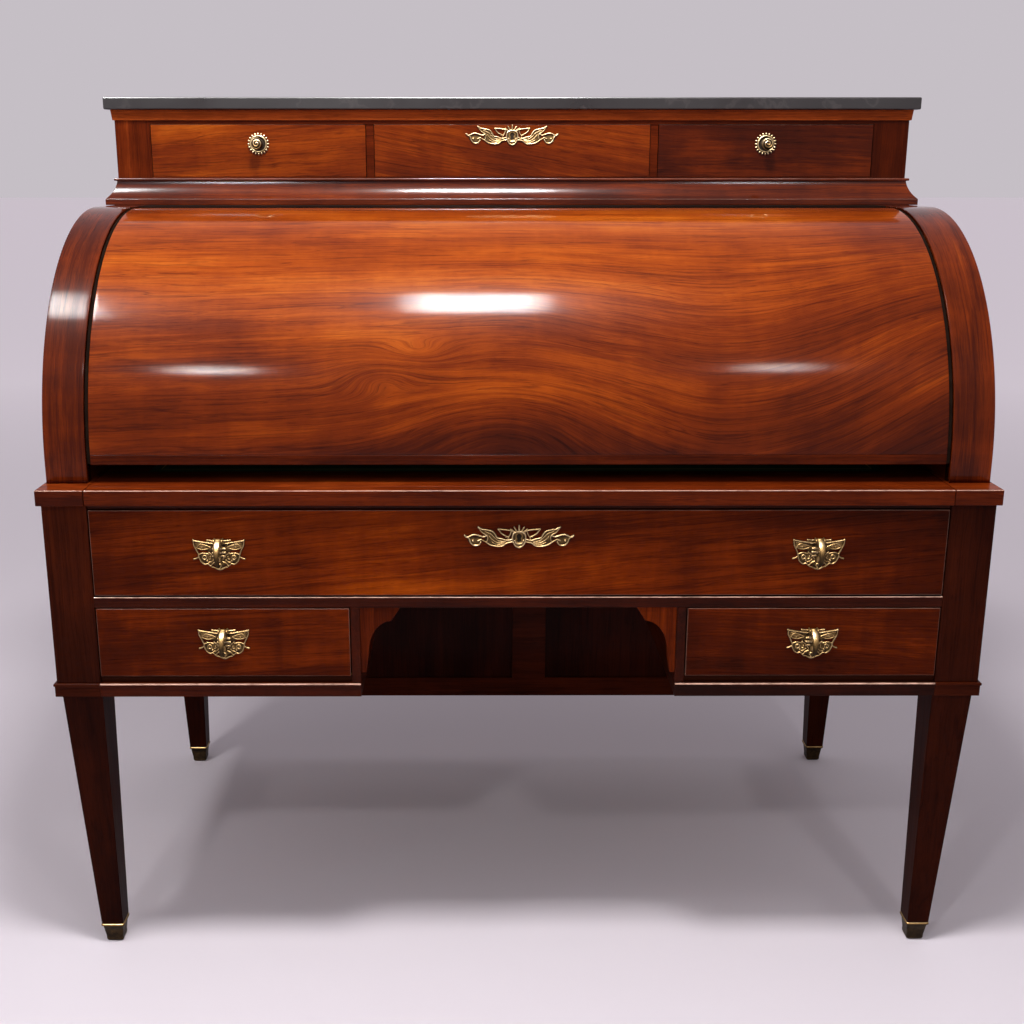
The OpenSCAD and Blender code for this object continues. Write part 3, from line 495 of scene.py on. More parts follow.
def dress(node, bevel=0.6, segments=2, axis=longest_axis, lean=0.0, shade=0.0, behind=0.0, places=(),
          worn=0.0, painted_front_shade=False, finish=None, cuts=()):
    """A CAD node's own form with softened edges (bevel in mm) and grain coordinates, with a pale painted
    highlight, patchy like rubbed polish, on its upper front arrises, and a drawer front on the others too.
    Its front faces take a near-black painted shade if asked. It is cut flat at these x places, so that
    its shade can change there."""
    bm = bmesh.new()
    bm.from_mesh(frame["nodes"][node].data)
    layers = bm.faces.layers.float
    for name in ("worn", "painted_shade"):
        layers.new(name)
    sheen_and_wear_mask, painted_shade = layers["worn"], layers["painted_shade"]
    bmesh.ops.remove_doubles(bm, verts=bm.verts, dist=1e-5)
    bmesh.ops.dissolve_limit(bm, angle_limit=math.radians(0.5), verts=bm.verts, edges=bm.edges)
    bmesh.ops.recalc_face_normals(bm, faces=bm.faces)
    sharp = [e for e in bm.edges if len(e.link_faces) == 2 and e.calc_face_angle(0) > math.radians(35)]
    rounded = bmesh.ops.bevel(bm, geom=sharp, offset=bevel * MM, segments=segments, profile=0.5,
                              affect="EDGES", clamp_overlap=True)["faces"]
    bm.normal_update()
    # Painted highlight: a pale line on the bevels of the upper front arrises, and on a drawer front's other front
    # arrises too.
    other_sheen_and_wear = 0.8 * worn if finish == "drawer_mahogany" else 0.0
    for face in rounded:
        if face.normal.y < -0.2:
            face[sheen_and_wear_mask] = worn if face.normal.z > 0.2 else other_sheen_and_wear
    # Painted shade: the front faces of a node that stands in shadow are marked near black.
    for face in bm.faces:
        if painted_front_shade and face.normal.y < -FACING:
            face[painted_shade] = 1.0
    for x in cuts:
        bmesh.ops.bisect_plane(bm, geom=bm.verts[:] + bm.edges[:] + bm.faces[:],
                               plane_co=(x, 0, 0), plane_no=(1, 0, 0))
    bm.normal_update()
    bm.faces.index_update()
    data = bpy.data.meshes.new("form")
    bm.to_mesh(data)
    keep_grain(data, bm, sum(map(ord, node)), axis, lean)
    bm.free()
    keep_tone(data, shade, places, behind)
    if slot_of[node] == "gilt_brass":
        keep_number(data, "relief", [0.5] * len(data.vertices))
    smooth(data)
    piece = add_piece(node, data, finish or slot_of[node])
    piece.modifiers.new("normals", "WEIGHTED_NORMAL").weight = 80


def grid_faces(rows, columns, closed=False):
    """Quads over a grid of numbered points, closed along its second direction if asked."""
    number = np.arange(rows * columns).reshape(rows, columns)
    if closed:
        number = np.concatenate([number, number[:, :1]], axis=1)
    return np.stack([number[:-1, :-1], number[:-1, 1:], number[1:, 1:], number[1:, :-1]], -1).reshape(-1, 4)


def mesh_from(vertices, faces):
    data = bpy.data.meshes.new("form")
    data.from_pydata([tuple(v) for v in vertices], [], [tuple(int(i) for i in f) for f in faces])
    data.validate()
    data.update()
    smooth(data)
    return data


def face_outwards(data):
    bm = bmesh.new()
    bm.from_mesh(data)
    bmesh.ops.recalc_face_normals(bm, faces=bm.faces)
    bm.to_mesh(data)
    bm.free()


def capped(rings):
    """A closed solid through these rings of points, with flat ends."""
    rings = np.array(rings)
    n, total = rings.shape[1], rings.size // 3
    ends = [list(range(n)), list(range(total - 1, total - n - 1, -1))]
    data = mesh_from(rings.reshape(-1, 3), grid_faces(len(rings), n, closed=True).tolist() + ends)
    face_outwards(data)
    return data


def thick_sheet(front, back, faces):
    """A closed solid between a sheet of quads and its copy behind."""
    n = len(front)
    pairs = {tuple(e) for k in range(4) for e in faces[:, [k, (k + 1) % 4]].tolist()}
    rim = [[b, a, a + n, b + n] for a, b in pairs if (b, a) not in pairs]
    behind = faces[:, [0, 3, 2, 1]] + n
    return mesh_from(np.vstack([front, back]), faces.tolist() + behind.tolist() + rim)


def blob(x, z, centre_x, centre_z, half_x, half_z):
    """1 at this centre, fading to 0.37 at half the width or height."""
    return np.exp(-(((x - centre_x) / half_x) ** 2 + ((z - centre_z) / half_z) ** 2))


def joint(key, value):
    """The joint whose entry in the frame has this value."""
    return next(j for j in frame["joints"] if j[key] == value)


# The fall turns about this line; angles run from straight ahead (0) to straight up (90 degrees).
AXIS_Y, AXIS_Z = joint("name", "fall_turn")["pos_m"][1:]


def polar(node):
    """(inner radius, outer radius, low angle, high angle) of a ring piece about the fall's axis."""
    co = points_of(frame["nodes"][node].data)
    r = np.hypot(co[:, 1] - AXIS_Y, co[:, 2] - AXIS_Z)
    a = np.arctan2(co[:, 2] - AXIS_Z, AXIS_Y - co[:, 1])
    return r.min(), r.max(), a.min(), a.max()


def ring_section(inner, outer, low, high, arris, steps):
    """Outline of a curved board's section as (radius, angle), with small chamfered edges."""
    da = arris / outer
    outline = [(outer - arris, low), (outer - arris * 0.3, low + da * 0.3)]
    outline += [(outer, a) for a in np.linspace(low + da, high - da, steps)]
    outline += [(outer - arris * 0.3, high - da * 0.3), (outer - arris, high), (inner + arris, high)]
    outline += [(inner, a) for a in np.linspace(high - da, low + da, steps // 3)]
    outline += [(inner + arris, low)]
    return np.array(outline)


def curved_board(node, material, columns, steps, grain_of, tone_of, arris=0.9 * MM):
    """A board bent about the fall's axis, with ends, as one closed dense mesh. Its grain and tone are
    worked out from x and from s, the way up round its face, in metres."""
    x0, x1 = (corner.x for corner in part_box(node))
    inner, outer, low, high = polar(node)
    r, a = ring_section(inner, outer, low, high, arris, steps).T
    xs = [[x0, x0 + arris * 0.3], np.linspace(x0 + arris, x1 - arris, columns), [x1 - arris * 0.3, x1]]
    xs = np.concatenate(xs)
    rings = []
    for i, x in enumerate(xs):
        pull = {0: arris, 1: arris * 0.3}.get(min(i, len(xs) - 1 - i), 0.0)
        ri = np.where(r > (inner + outer) / 2, np.minimum(r, outer - pull), np.maximum(r, inner + pull))
        rings.append(np.stack([np.full_like(r, x), AXIS_Y - ri * np.cos(a), AXIS_Z + ri * np.sin(a)], -1))
    data = capped(rings)
    x, s = np.repeat(xs, len(r)), (np.tile(a, len(xs)) - low) * outer
    keep_vectors(data, "grain", grain_of(x, s))
    keep_number(data, "tone", tone_of(x, s))
    piece = add_piece(node, data, material)
    piece.modifiers.new("normals", "WEIGHTED_NORMAL")


def fall_grain(x, s):
    """The veneer's lines: level at the top, sagging right of the middle and rising to the right edge,
    over a dome at the foot and an eye left of the middle."""
    knots = np.array([(-0.7, -0.01), (-0.45, 0.0), (-0.2, 0.012), (0.0, 0.02), (0.15, -0.01), (0.3, -0.036),
                      (0.45, -0.005), (0.62, 0.085), (0.7, 0.12)])
    line = curve(knots, 0.004)
    sag = np.interp(x, line[:, 0], line[:, 1])
    hold = 0.12 + 0.88 / (1 + np.exp((s - 0.26) / 0.045))
    dome = 0.05 * blob(x, s, -0.02, 0.04, 0.15, 0.066)
    feather = 0.034 * blob(x, s, -0.2, 0.115, 0.062, 0.026) - 0.026 * blob(x, s, -0.145, 0.15, 0.05, 0.018)
    across = s - sag * hold - dome - feather
    return np.stack([x * 0.9 + 3.0, across + 5.0, np.full_like(x, 7.0)], -1)


def fall_tone(x, s):
    """The veneer's shade: light above the middle, darker to the right and towards its foot."""
    tone = 0.07 + 0.16 * np.clip((s - 0.2) / 0.2, 0, 1)
    tone -= 0.14 * np.clip((x - 0.25) / 0.3, 0, 1) + 0.15 * np.clip((0.1 - s) / 0.1, 0, 1)
    for amount, *place in ((-0.06, -0.5, 0.4, 0.25, 0.1), (0.24, -0.24, 0.16, 0.1, 0.055),
                           (0.05, 0.5, 0.38, 0.25, 0.08), (-0.12, -0.2, 0.115, 0.045, 0.016),
                           (-0.12, -0.55, 0.06, 0.25, 0.05), (-0.06, 0.4, 0.05, 0.3, 0.06),
                           (-0.08, -0.2, 0.24, 0.25, 0.02)):
        tone += amount * blob(x, s, *place)
    return tone


def band(node, width=20 * MM, arris=0.8 * MM):
    """The quadrant's veneered edge: up the front, round over and back along the top."""
    low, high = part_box(node)
    outer = AXIS_Y - low.y
    left, right, slant = low.x + arris, high.x - arris, 0.3 * arris
    section = [(left, outer), (low.x + slant, outer - slant), (low.x, outer - arris), (low.x, outer - width),
               (high.x, outer - width), (high.x, outer - arris), (high.x - slant, outer - slant),
               (right, outer)]
    section += [(x, outer) for x in np.linspace(right, left, 16)[1:-1]]
    # Each station has its way along the band, the middle it turns about, and its angle there.
    quarter = math.pi / 2
    bend = quarter * outer
    stations = [(z - AXIS_Z, AXIS_Y, z, 0.0) for z in np.linspace(low.z, AXIS_Z, 6)[:-1]]
    stations += [(a * outer, AXIS_Y, AXIS_Z, a) for a in np.linspace(0, quarter, 120)]
    stations += [(bend + y - AXIS_Y, y, AXIS_Z, quarter) for y in np.linspace(AXIS_Y, high.y, 10)[1:]]
    rings = np.array([[(x, y - r * math.cos(a), z + r * math.sin(a)) for x, r in section]
                      for _, y, z, a in stations])
    data = capped(rings)
    along = np.repeat([station[0] for station in stations], len(section))
    side = 0.0 if low.x < 0 else 11.0
    keep_vectors(data, "grain", np.stack([along + side, rings[..., 0].ravel() + side, along * 0 + 2.0], -1))
    keep_tone(data, -0.09, [(0.66, 0.85, 0.1, 0.12, -0.05)])
    piece = add_piece(node, data, "figured_mahogany")
    piece.modifiers.new("normals", "WEIGHTED_NORMAL")


def leather_panel(node, soft=0.4 * MM):
    """The writing leather, with each point's distances from its edges kept for the tooled line."""
    low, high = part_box(node)
    x, y = np.meshgrid(*([a, a + soft, (a + b) / 2, b - soft, b] for a, b in zip(low.xy, high.xy)),
                       indexing="ij")
    inset = np.stack([np.minimum(x - low.x, high.x - x), np.minimum(y - low.y, high.y - y), x * 0], -1)
    top = np.stack([x, y, np.where(inset[..., :2].min(-1) > 0, high.z, high.z - soft)], -1)
    front = top.reshape(-1, 3)
    data = thick_sheet(front, front * (1, 1, 0) + (0, 0, low.z), grid_faces(*x.shape))
    keep_vectors(data, "inset", np.tile(inset.reshape(-1, 3), (2, 1)))
    add_piece(node, data, "green_leather")


# ---------------- brass

def curve(points, step=0.2):
    """A smooth line through these points, as points about a step apart."""
    p = np.array(points, float)
    if len(p) == 1:
        return p
    p = np.vstack([2 * p[0] - p[1], p, 2 * p[-1] - p[-2]])
    out = []
    for a, b, c, d in zip(p, p[1:], p[2:], p[3:]):
        count = max(2, int(np.hypot(*(c - b)[:2]) / step))
        t = np.linspace(0, 1, count, endpoint=False)[:, None]
        out.append(0.5 * (2 * b + (c - a) * t + (2 * a - 5 * b + 4 * c - d) * t ** 2
                          + (3 * b - a - 3 * c + d) * t ** 3))
    return np.vstack(out + [p[-2:-1]])


def mirrored(strokes):
    """Adds each stroke's mirror image, unless it lies on the middle line."""
    both = list(strokes)
    for points, r0, r1, top in strokes:
        if any(abs(p[0]) > 0.01 for p in points):
            both.append(([(-p[0], p[1]) for p in points], r0, r1, top))
    return both


def window(middle, reach, places, step):
    """The stretch of these evenly spaced places that lies within reach of a middle."""
    ends = (middle - reach - places[0]) / step, (middle + reach - places[0]) / step + 2
    return slice(*(int(np.clip(end, 0, len(places))) for end in ends))


def relief(strokes, centre, plane, holes, base=0.7, step=0.42):
    """A cast plate: rounded strokes (points, start radius, end radius, height) over a base, in mm from
    its centre, on a grid of this step whose rim is drawn out to the strokes' own outline. The holes are
    hollows: (x, z, radius, depth)."""
    xy = np.vstack([curve(s[0]) for s in strokes])
    reach = max(max(s[1], s[2]) for s in strokes) + 2 * step
    xs = np.arange(xy[:, 0].min() - reach, xy[:, 0].max() + reach, step)
    zs = np.arange(xy[:, 1].min() - reach, xy[:, 1].max() + reach, step)
    # At each point: how deep it lies inside the outline (below 0 outside), its height and its shine, a painted
    # highlight that is brightest on each stroke's crest and on the higher strokes.
    level = np.full((len(zs), len(xs)), -9.0)
    rise = np.zeros_like(level)
    shine = np.zeros_like(level)
    highest = max(s[3] for s in strokes)
    for points, r0, r1, top in strokes:
        path = curve(points)
        for (x, z), r in zip(path, np.linspace(r0, r1, len(path))):
            part = window(z, r + 2 * step, zs, step), window(x, r + 2 * step, xs, step)
            d = np.hypot(xs[None, part[1]] - x, zs[part[0], None] - z)
            level[part] = np.maximum(level[part], r - d)
            crest = np.sqrt(np.clip(1 - (d / r) ** 2, 0, 1))
            above = top * crest > rise[part]
            rise[part] = np.where(above, top * crest, rise[part])
            shine[part] = np.where(above, crest * 0.46 * (1 + top / highest), shine[part])
    # Holes are painted near black: painted shade in their depth.
    for x, z, r, depth in holes:
        hole = np.hypot(xs[None, :] - x, zs[:, None] - z) < r
        rise = np.where(hole, np.minimum(rise, depth), rise)
        shine = np.where(hole, -0.6, shine)
    # Points just outside the outline are drawn in onto it, and what lies further out is dropped.
    dz, dx = np.gradient(level, step)
    steep = np.maximum(dx ** 2 + dz ** 2, 0.3)
    outside = (level < 0) & (level > -3 * step)
    px = np.where(outside, xs[None, :] - level * dx / steep, xs[None, :])
    pz = np.where(outside, zs[:, None] - level * dz / steep, zs[:, None])
    inside = level >= 0
    used = inside[:-1, :-1] | inside[1:, :-1] | inside[:-1, 1:] | inside[1:, 1:]
    keep, faces = np.unique(grid_faces(*level.shape)[used.ravel()], return_inverse=True)
    x, z, out, glow = (values.ravel()[keep] for values in
                       (px, pz, np.where(outside, 0, rise), np.where(outside, 0, shine)))
    front = np.stack([centre[0] + x * MM, plane - (base + out) * MM, centre[1] + z * MM], -1)
    back = front * (1, 0, 1) + (0, plane, 0)
    data = thick_sheet(front, back, faces.reshape(-1, 4))
    keep_number(data, "relief", np.append(glow, glow * 0))
    return data


def circle(x, z, r, count=9):
    """Points round a circle."""
    return [(x + r * math.cos(t), z + r * math.sin(t)) for t in np.linspace(0, 2 * math.pi, count)]


# A pull's plate: spread wings behind the ears, curled in openwork, and a lobed foot. Its broad flat strokes of
# height 0.02 fill the openwork with dark brass, as patina and painted shade.
BAT = mirrored([
    ([(20, 11.6), (31, 14.4)], 5.4, 4.2, 0.5),
    ([(4, 12), (14, 10)], 6.4, 5.6, 0.02),
    ([(20, 12.6), (28, 13)], 3.6, 3, 0.9),
    ([(3, -4), (22, -4.6)], 8, 7.6, 0.02),
    ([(3, -12), (14, -11)], 5.6, 4, 0.02),
    ([(0, -15.5)], 6.6, 6.6, 0.02),
    ([(4, 20), (14, 19.6)], 2, 2, 0.02),
    ([(36.9, 22), (35.4, 21.2), (24, 19.2), (18, 18.4), (12.6, 17.4), (5, 17)], 1.5, 1, 1.7),
    ([(17.2, 22.4), (14, 22), (9.6, 21.6), (3.4, 21.7)], 1.1, 1.1, 1.7),
    ([(17.2, 22.4), (16.9, 20.8), (14.8, 20)], 0.9, 0.8, 1.4),
    ([(36.6, 21.2), (36, 14.6), (33.2, 8.6), (29.8, 1)], 1.1, 1.3, 1.6),
    ([(29.8, 1), (29.3, -4), (26.5, -10.4), (21.7, -14.2), (16.8, -13.6), (13.2, -16.7), (9.5, -12.8),
      (4.7, -10.4)], 1.3, 1, 1.6),
    ([(36.9, -6.4), (33.5, -5.4), (29.6, -2.8)], 1.3, 1.1, 1.5),
    ([(13.2, -16.7), (11, -18.6), (8.4, -19.2), (5.5, -20.6), (2.5, -22), (0, -22.6)], 1.1, 1.3, 1.5),
    ([(32.2, 10.6), (29.5, 14.6), (25.9, 16.2), (19, 14.4), (12, 11.4)], 1.1, 0.9, 1.5),
    ([(32.2, 10.6), (26, 8.2), (19, 8.4), (12, 11.4)], 1.1, 0.8, 1.3),
    ([(24.4, 11.4)], 1.7, 1.7, 1.6),
    ([(34.2, 17.6), (26, 18)], 0.8, 0.7, 1),
    ([(29.3, 0.4), (24.1, 2.6), (19, 2), (15.4, 1.2)], 1.2, 0.9, 1.6),
    (circle(21.4, -3.9, 3), 1.2, 1.2, 1.7),
    ([(21.4, -3.9)], 1.3, 1.3, 1.2),
    ([(14.6, 3), (11.4, 0.8), (8.2, -1.8), (5, -7.2)], 1.3, 1.1, 1.6),
    ([(12.8, -3), (12.2, -5.4), (14.6, -7)], 1.3, 1, 1.5),
    ([(17.8, -9.2)], 2.1, 2.1, 1.7),
    ([(9, -8), (12.4, -10.6), (17, -11.8)], 1.1, 0.9, 1.3),
    ([(2.4, 9.6), (8.6, 8.8)], 2.1, 1.8, 2.1),
    ([(1.8, 3.4), (9, 3.4)], 2.1, 1.9, 2.3),
    ([(3.4, -1.8), (9, -2.4)], 1.9, 1.5, 2),
    ([(0, 6)], 4.6, 4.6, 1),
    ([(0, -5.5), (0, -10)], 3.2, 2.4, 1.3),
    (circle(0, -16.6, 2.3), 1.1, 1.1, 1.6),
    ([(0, -21)], 1.9, 1.9, 1.8),
])
BAT_HOLES = [(side * 7.2, 14.6, 2.5, -0.5) for side in (-1, 1)]

# A keyhole plate: a palmette over the keyhole, and a long feathered wing with a curled end on each side. Its broad
# flat strokes of height 0.02 fill the openwork with dark brass, as patina and painted shade.
WING_KEY = mirrored([
    ([(20, -6.6), (32, -6.6)], 4.4, 5.8, 0.02),
    ([(32, -6.4), (41, -0.8)], 6, 8.6, 0.02),
    ([(41, 2.4), (50, 8), (57, 14)], 6.6, 1.6, 0.02),
    ([(70, -3), (61, -4.6)], 4.6, 6.6, 0.02),
    ([(9, -3), (17, -6)], 2.4, 2.6, 0.02),
    ([(0, 9), (0, 14), (0, 18.4)], 2.1, 1.1, 1.7),
    ([(3.4, 9.6), (5.6, 13), (7.4, 16)], 1.7, 1, 1.6),
    ([(6.4, 8.4), (9.6, 11.2), (12, 13)], 1.5, 0.9, 1.5),
    ([(0, 2.5), (0, -3), (0, -9)], 8.2, 4.8, 0.7),
    ([(8.8, 5.5), (9.6, 0), (8.2, -7), (4.6, -12.6), (0, -14.8)], 1.4, 1.5, 1.8),
    ([(0, 9), (4.6, 8.4), (8.6, 5.7)], 1.5, 1.4, 1.9),
    ([(0, -9.8), (4.4, -8.2), (6.2, -4.4)], 1.6, 1.2, 1.7),
    ([(30.2, 12.8), (20, 12), (11, 10.6), (7.6, 7.6)], 1.3, 1.1, 1.6),
    ([(30.2, 12.8), (25, 6), (15.5, 0.7)], 1.3, 1.1, 1.6),
    ([(11.4, 10.4), (12.8, 5.4), (15.5, 0.7), (17, -4)], 1.2, 1.1, 1.5),
    ([(30, 12.6)], 1.8, 1.8, 1.7),
    ([(19, 1)], 1.5, 1.5, 1.5),
    ([(59.4, 16), (53.6, 12.9), (45.5, 11.5), (38.7, 9.5), (34.6, 4.7), (31.6, 0), (23.7, -2), (17, -4),
      (9.5, -2)], 1.4, 1.1, 1.8),
    ([(59.4, 16), (53.6, 8.1), (46.8, 3.4), (45.5, -1.4), (47.5, -6.8)], 1.2, 1.1, 1.6),
    ([(47.5, -6.8), (41.4, -10.9), (31.9, -12.9), (23.7, -12.2), (18.3, -8.1), (9, -6)], 1.2, 1.2, 1.7),
    ([(20, -5.6), (29, -4.8), (36, 0.6), (41, 5.6), (50, 9.4)], 1, 0.8, 1.5),
    ([(21, -7.6), (30, -8), (38, -3.6), (43, 1.6)], 1, 0.8, 1.4),
    ([(22, -9.8), (31, -10.4), (39, -7)], 0.9, 0.8, 1.3),
    ([(79, 3.3), (75.3, 0.9), (65.8, 4.7), (56.3, 2.7), (52.2, 1.4), (46.8, 3.4)], 1.4, 1.2, 1.8),
    ([(79, 3.3), (72.6, -1.4), (70.6, -6.8), (65.8, -11.3), (59, -10.9), (55.6, -6.4)], 1.3, 1.2, 1.7),
    ([(67.2, -4.6)], 2, 2, 1.8),
    ([(55, -2.6), (60, -4.6)], 1.4, 1.2, 1.6),
    ([(47.5, -6.8), (52, -4.4), (55, -2.6)], 1.1, 1.1, 1.4),
])
KEYHOLE = [(0, 2, 3.6, -0.55), (0, -1.6, 2.6, -0.55), (0, -4, 2.9, -0.55)]


def join_data(parts):
    """One mesh out of several, with their attributes."""
    bm = bmesh.new()
    for data in parts:
        bm.from_mesh(data)
    whole = bpy.data.meshes.new("form")
    bm.to_mesh(whole)
    bm.free()
    smooth(whole)
    return whole


def closed_sweep(rings, values):
    """A closed solid through these rings of points, with its ends drawn in to their middles and one
    value of relief for each ring."""
    rings = np.array(rings)
    n, count = rings.shape[1], rings.size // 3
    faces = grid_faces(len(rings), n, closed=True).tolist()
    faces += [[(i + 1) % n, i, count] for i in range(n)]
    faces += [[count - n + i, count - n + (i + 1) % n, count + 1] for i in range(n)]
    data = mesh_from(np.vstack([rings.reshape(-1, 3), rings[0].mean(0), rings[-1].mean(0)]), faces)
    face_outwards(data)
    keep_number(data, "relief", np.append(np.repeat(values, n), [values[0], values[-1]]))
    return data


def lug(x0, x1, y0, y1, z, r, edge=0.5 * MM):
    """An ear of a pull: a plate with a round nose, from the back plate out to the pin."""
    nose = [(y1 - r * math.cos(t), z + r * math.sin(t)) for t in np.linspace(math.pi / 2, -math.pi / 2, 14)]
    nose = np.array([(y0, z + r * 1.15)] + nose + [(y0, z - r * 1.15)])
    away = nose - ((y0 + y1) / 2, z)
    away /= np.linalg.norm(away, axis=1, keepdims=True)
    rings = [np.insert(nose - away * pull, 0, x, axis=1) for x, pull in
             ((x0, edge), (x0 + edge * 0.3, edge * 0.3), (x0 + edge, 0),
              (x1 - edge, 0), (x1 - edge * 0.3, edge * 0.3), (x1, edge))]
    return closed_sweep(rings, [0.5] * len(rings))


def rod(x0, x1, y, z, r, edge=0.3 * MM):
    """A round pin along x with softened ends."""
    turns = np.linspace(0, 2 * math.pi, 20, endpoint=False)
    rings = [[(x, y + q * math.cos(t), z + q * math.sin(t)) for t in turns]
             for x, q in ((x0, r * 0.8), (x0 + edge, r), (x1 - edge, r), (x1, r * 0.8))]
    return closed_sweep(rings, [0.45] * len(rings))


def centre_of(node):
    low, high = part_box(node)
    return (low.x + high.x) / 2, (low.z + high.z) / 2


def pin_of(pull):
    """The place about which a pull's loop swings."""
    return joint("child", body_of[pull])["pos_m"]


def squared(turns, power):
    """Cosines and sines of a rounded square: the smaller the power, the squarer."""
    return (np.sign(f(turns)) * np.abs(f(turns)) ** power for f in (np.cos, np.sin))


# A loop's bend and its half width, half thickness and relief, each as (share of its length, value in mm).
LOOP_RADIUS = 18.5 * MM
LOOP_WIDE = ((0, 2.8), (0.05, 3.9), (0.15, 4.9), (0.3, 4.9), (0.5, 3.7), (0.75, 2.7), (0.95, 1.9), (1, 1.0))
LOOP_THICK = ((0, 2.6), (0.04, 3.4), (0.12, 3.6), (0.3, 3.5), (0.5, 3.3), (0.8, 2.8), (0.95, 2.0), (1, 1.0))
# The loop's relief falls from its top to its foot: a painted highlight above and painted shade on its lower half.
LOOP_RELIEF = ((0, 0.7), (0.08, 0.8), (0.3, 0.78), (0.42, 0.55), (0.55, 0.3), (1, 0.15))


def pull_loop(node, face):
    """The drop of a pull: a thick crescent, broad and bright above, that thins to its foot."""
    x = centre_of(node)[0]
    pin_y, pin_z = pin_of(node)[1:]
    across, deep = squared(np.linspace(0, 2 * math.pi, 28, endpoint=False), 0.8)
    rings, values = [], []
    for t in np.linspace(0, 1, 60):
        a = math.radians(96 - 186 * t)
        wide, thick, value = (np.interp(t, *zip(*knots)) for knots in (LOOP_WIDE, LOOP_THICK, LOOP_RELIEF))
        r = LOOP_RADIUS + deep * thick * MM
        y, z = face - 4.5 * MM - r * math.cos(a), pin_z - LOOP_RADIUS + r * math.sin(a)
        rings.append(np.stack([x + across * wide * MM, y, z], -1))
        values.append(value)
    eye = rod(x - 4.5 * MM, x + 4.5 * MM, pin_y, pin_z, 4.4 * MM)
    add_piece(node, join_data([closed_sweep(rings, values), eye]))


# A knob's neck and the widening to its face, from the rosette out: (radius, reach, relief), in mm. The neck's low
# relief is painted shade under the knob.
NECK = ((11.8, 1.0, 0.05), (10.2, 1.0, 0.0), (8.2, 1.8, 0.05), (6.0, 2.6, 0.1), (4.9, 5, 0.12),
        (4.6, 9, 0.15), (5.2, 12.4, 0.15), (7.4, 14.6, 0.2), (9.4, 16.0, 0.25), (10.2, 17.4, 0.35))


def knob(node, hand):
    """A rosette of rays round a ring, and a domed knob with a spiral on its face. Sizes are in mm."""
    x, z = centre_of(node)
    low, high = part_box(node)
    plane, reach = high.y, (high.y - low.y) / MM
    rays = 20
    turns = np.linspace(0, 2 * math.pi, rays * 10, endpoint=False)
    ray = np.clip(0.5 + 0.75 * np.cos(turns * rays), 0, 1) ** 0.7
    rings, values = [], []

    def ring(r, out, value):
        r, out, value = (np.broadcast_to(number, turns.shape) for number in (r * MM, out * MM, value))
        rings.append(np.stack([x + r * np.cos(turns), plane - out, z + r * np.sin(turns)], -1))
        values.append(value)

    inner_edge, rim = 14.8, 15.2 + 3.8 * ray
    ring(rim, 0.0, 0.1)
    ring(rim, 0.9 + 0.5 * ray, 0.7 * ray)
    for t in (0.15, 0.35, 0.6, 0.85):
        out = 0.9 + 2.8 * ray * math.sin(math.pi * (0.15 + 0.6 * t))
        ring(rim * (1 - t) + inner_edge * t, out, 1.1 * ray - 0.1)
    for t in np.linspace(0, math.pi, 9):
        ring(13.4 + 1.6 * math.cos(t), 1.6 + 2.3 * math.sin(t), 0.3 + 0.7 * math.sin(t))
    for r, out, value in NECK:
        ring(r, out, value)
    wide, start = NECK[-1][:2]
    ridge = 1.8
    for t in np.linspace(0.06, 0.985, 22):
        r = wide * math.cos(t * math.pi / 2) ** 0.85
        swirl = np.clip(0.4 + 0.9 * np.cos(hand * turns + r * 1.4 + 2.2), 0, 1)
        fade = min(1.0, (1 - t) * 3 + 0.35) if r > 0.8 else 0.2
        out = start + (reach - start - ridge) * math.sin(t * math.pi / 2) + ridge * swirl * fade
        # The spiral is painted brighter on its upper side: a painted highlight.
        ring(r, out, 0.05 + 0.6 * swirl + 0.4 * swirl * np.clip(0.4 + np.sin(turns), 0, 1))
    data = capped(rings)
    keep_number(data, "relief", np.ravel(values))
    add_piece(node, data)


# A shoe's sides up from the floor: (height, swell beyond the leg's taper, relief), in mm.
SHOE = ((0, -2.2, 0.1), (0.4, -1.0, 0.15), (1.4, 0.1, 0.3), (3.5, 0.6, 0.36), (6, 0.3, 0.3), (9, -0.4, 0.24),
        (20, -1.0, 0.32))


def sabots(node):
    """Square brass shoes: a rounded foot, a tapering body and a slim bead under the leg."""
    every = points_of(frame["nodes"][node].data)
    behind = every[:, 1] > (every[:, 1].min() + every[:, 1].max()) / 2
    cosines, sines = squared(np.linspace(0, 2 * math.pi, 64, endpoint=False), 0.22)
    parts = []
    for side, rear in ((-1, False), (1, False), (-1, True), (1, True)):
        co = every[(every[:, 0] * side > 0) & (behind == rear)]
        top = co[:, 2].max()
        taper = top - 5 * MM
        foot, neck = (co[np.abs(co[:, 2] - level) < 0.3 * MM] for level in (0.0, taper))
        rings, values = [], []

        def ring(z, swell, value):
            t = min(z / taper, 1)
            low, high = (at_foot * (1 - t) + at_neck * t for at_foot, at_neck in
                         ((foot.min(0), neck.min(0)), (foot.max(0), neck.max(0))))
            middle, half = (low + high) / 2, (high - low) / 2 + swell * MM
            x, y = middle[0] + half[0] * cosines, middle[1] + half[1] * sines
            rings.append(np.stack([x, y, np.full_like(x, z)], -1))
            values.append(value * 0.8)

        for z, swell, value in SHOE:
            ring(z * MM, swell, value)
        ring(top - 4.6 * MM, -1.5, 0.2)
        # The bead is painted brighter on its upper half: a painted highlight.
        for a in np.linspace(-80, 90, 8):
            up, out = math.sin(math.radians(a)), math.cos(math.radians(a))
            ring(top - 2.4 * MM + 2.1 * MM * up, -0.9 + 1.8 * out, 0.5 + 0.5 * max(up, 0))
        ring(top - 0.4 * MM, -1.2, 0.3)
        parts.append(closed_sweep(rings, values))
    add_piece(node, join_data(parts))


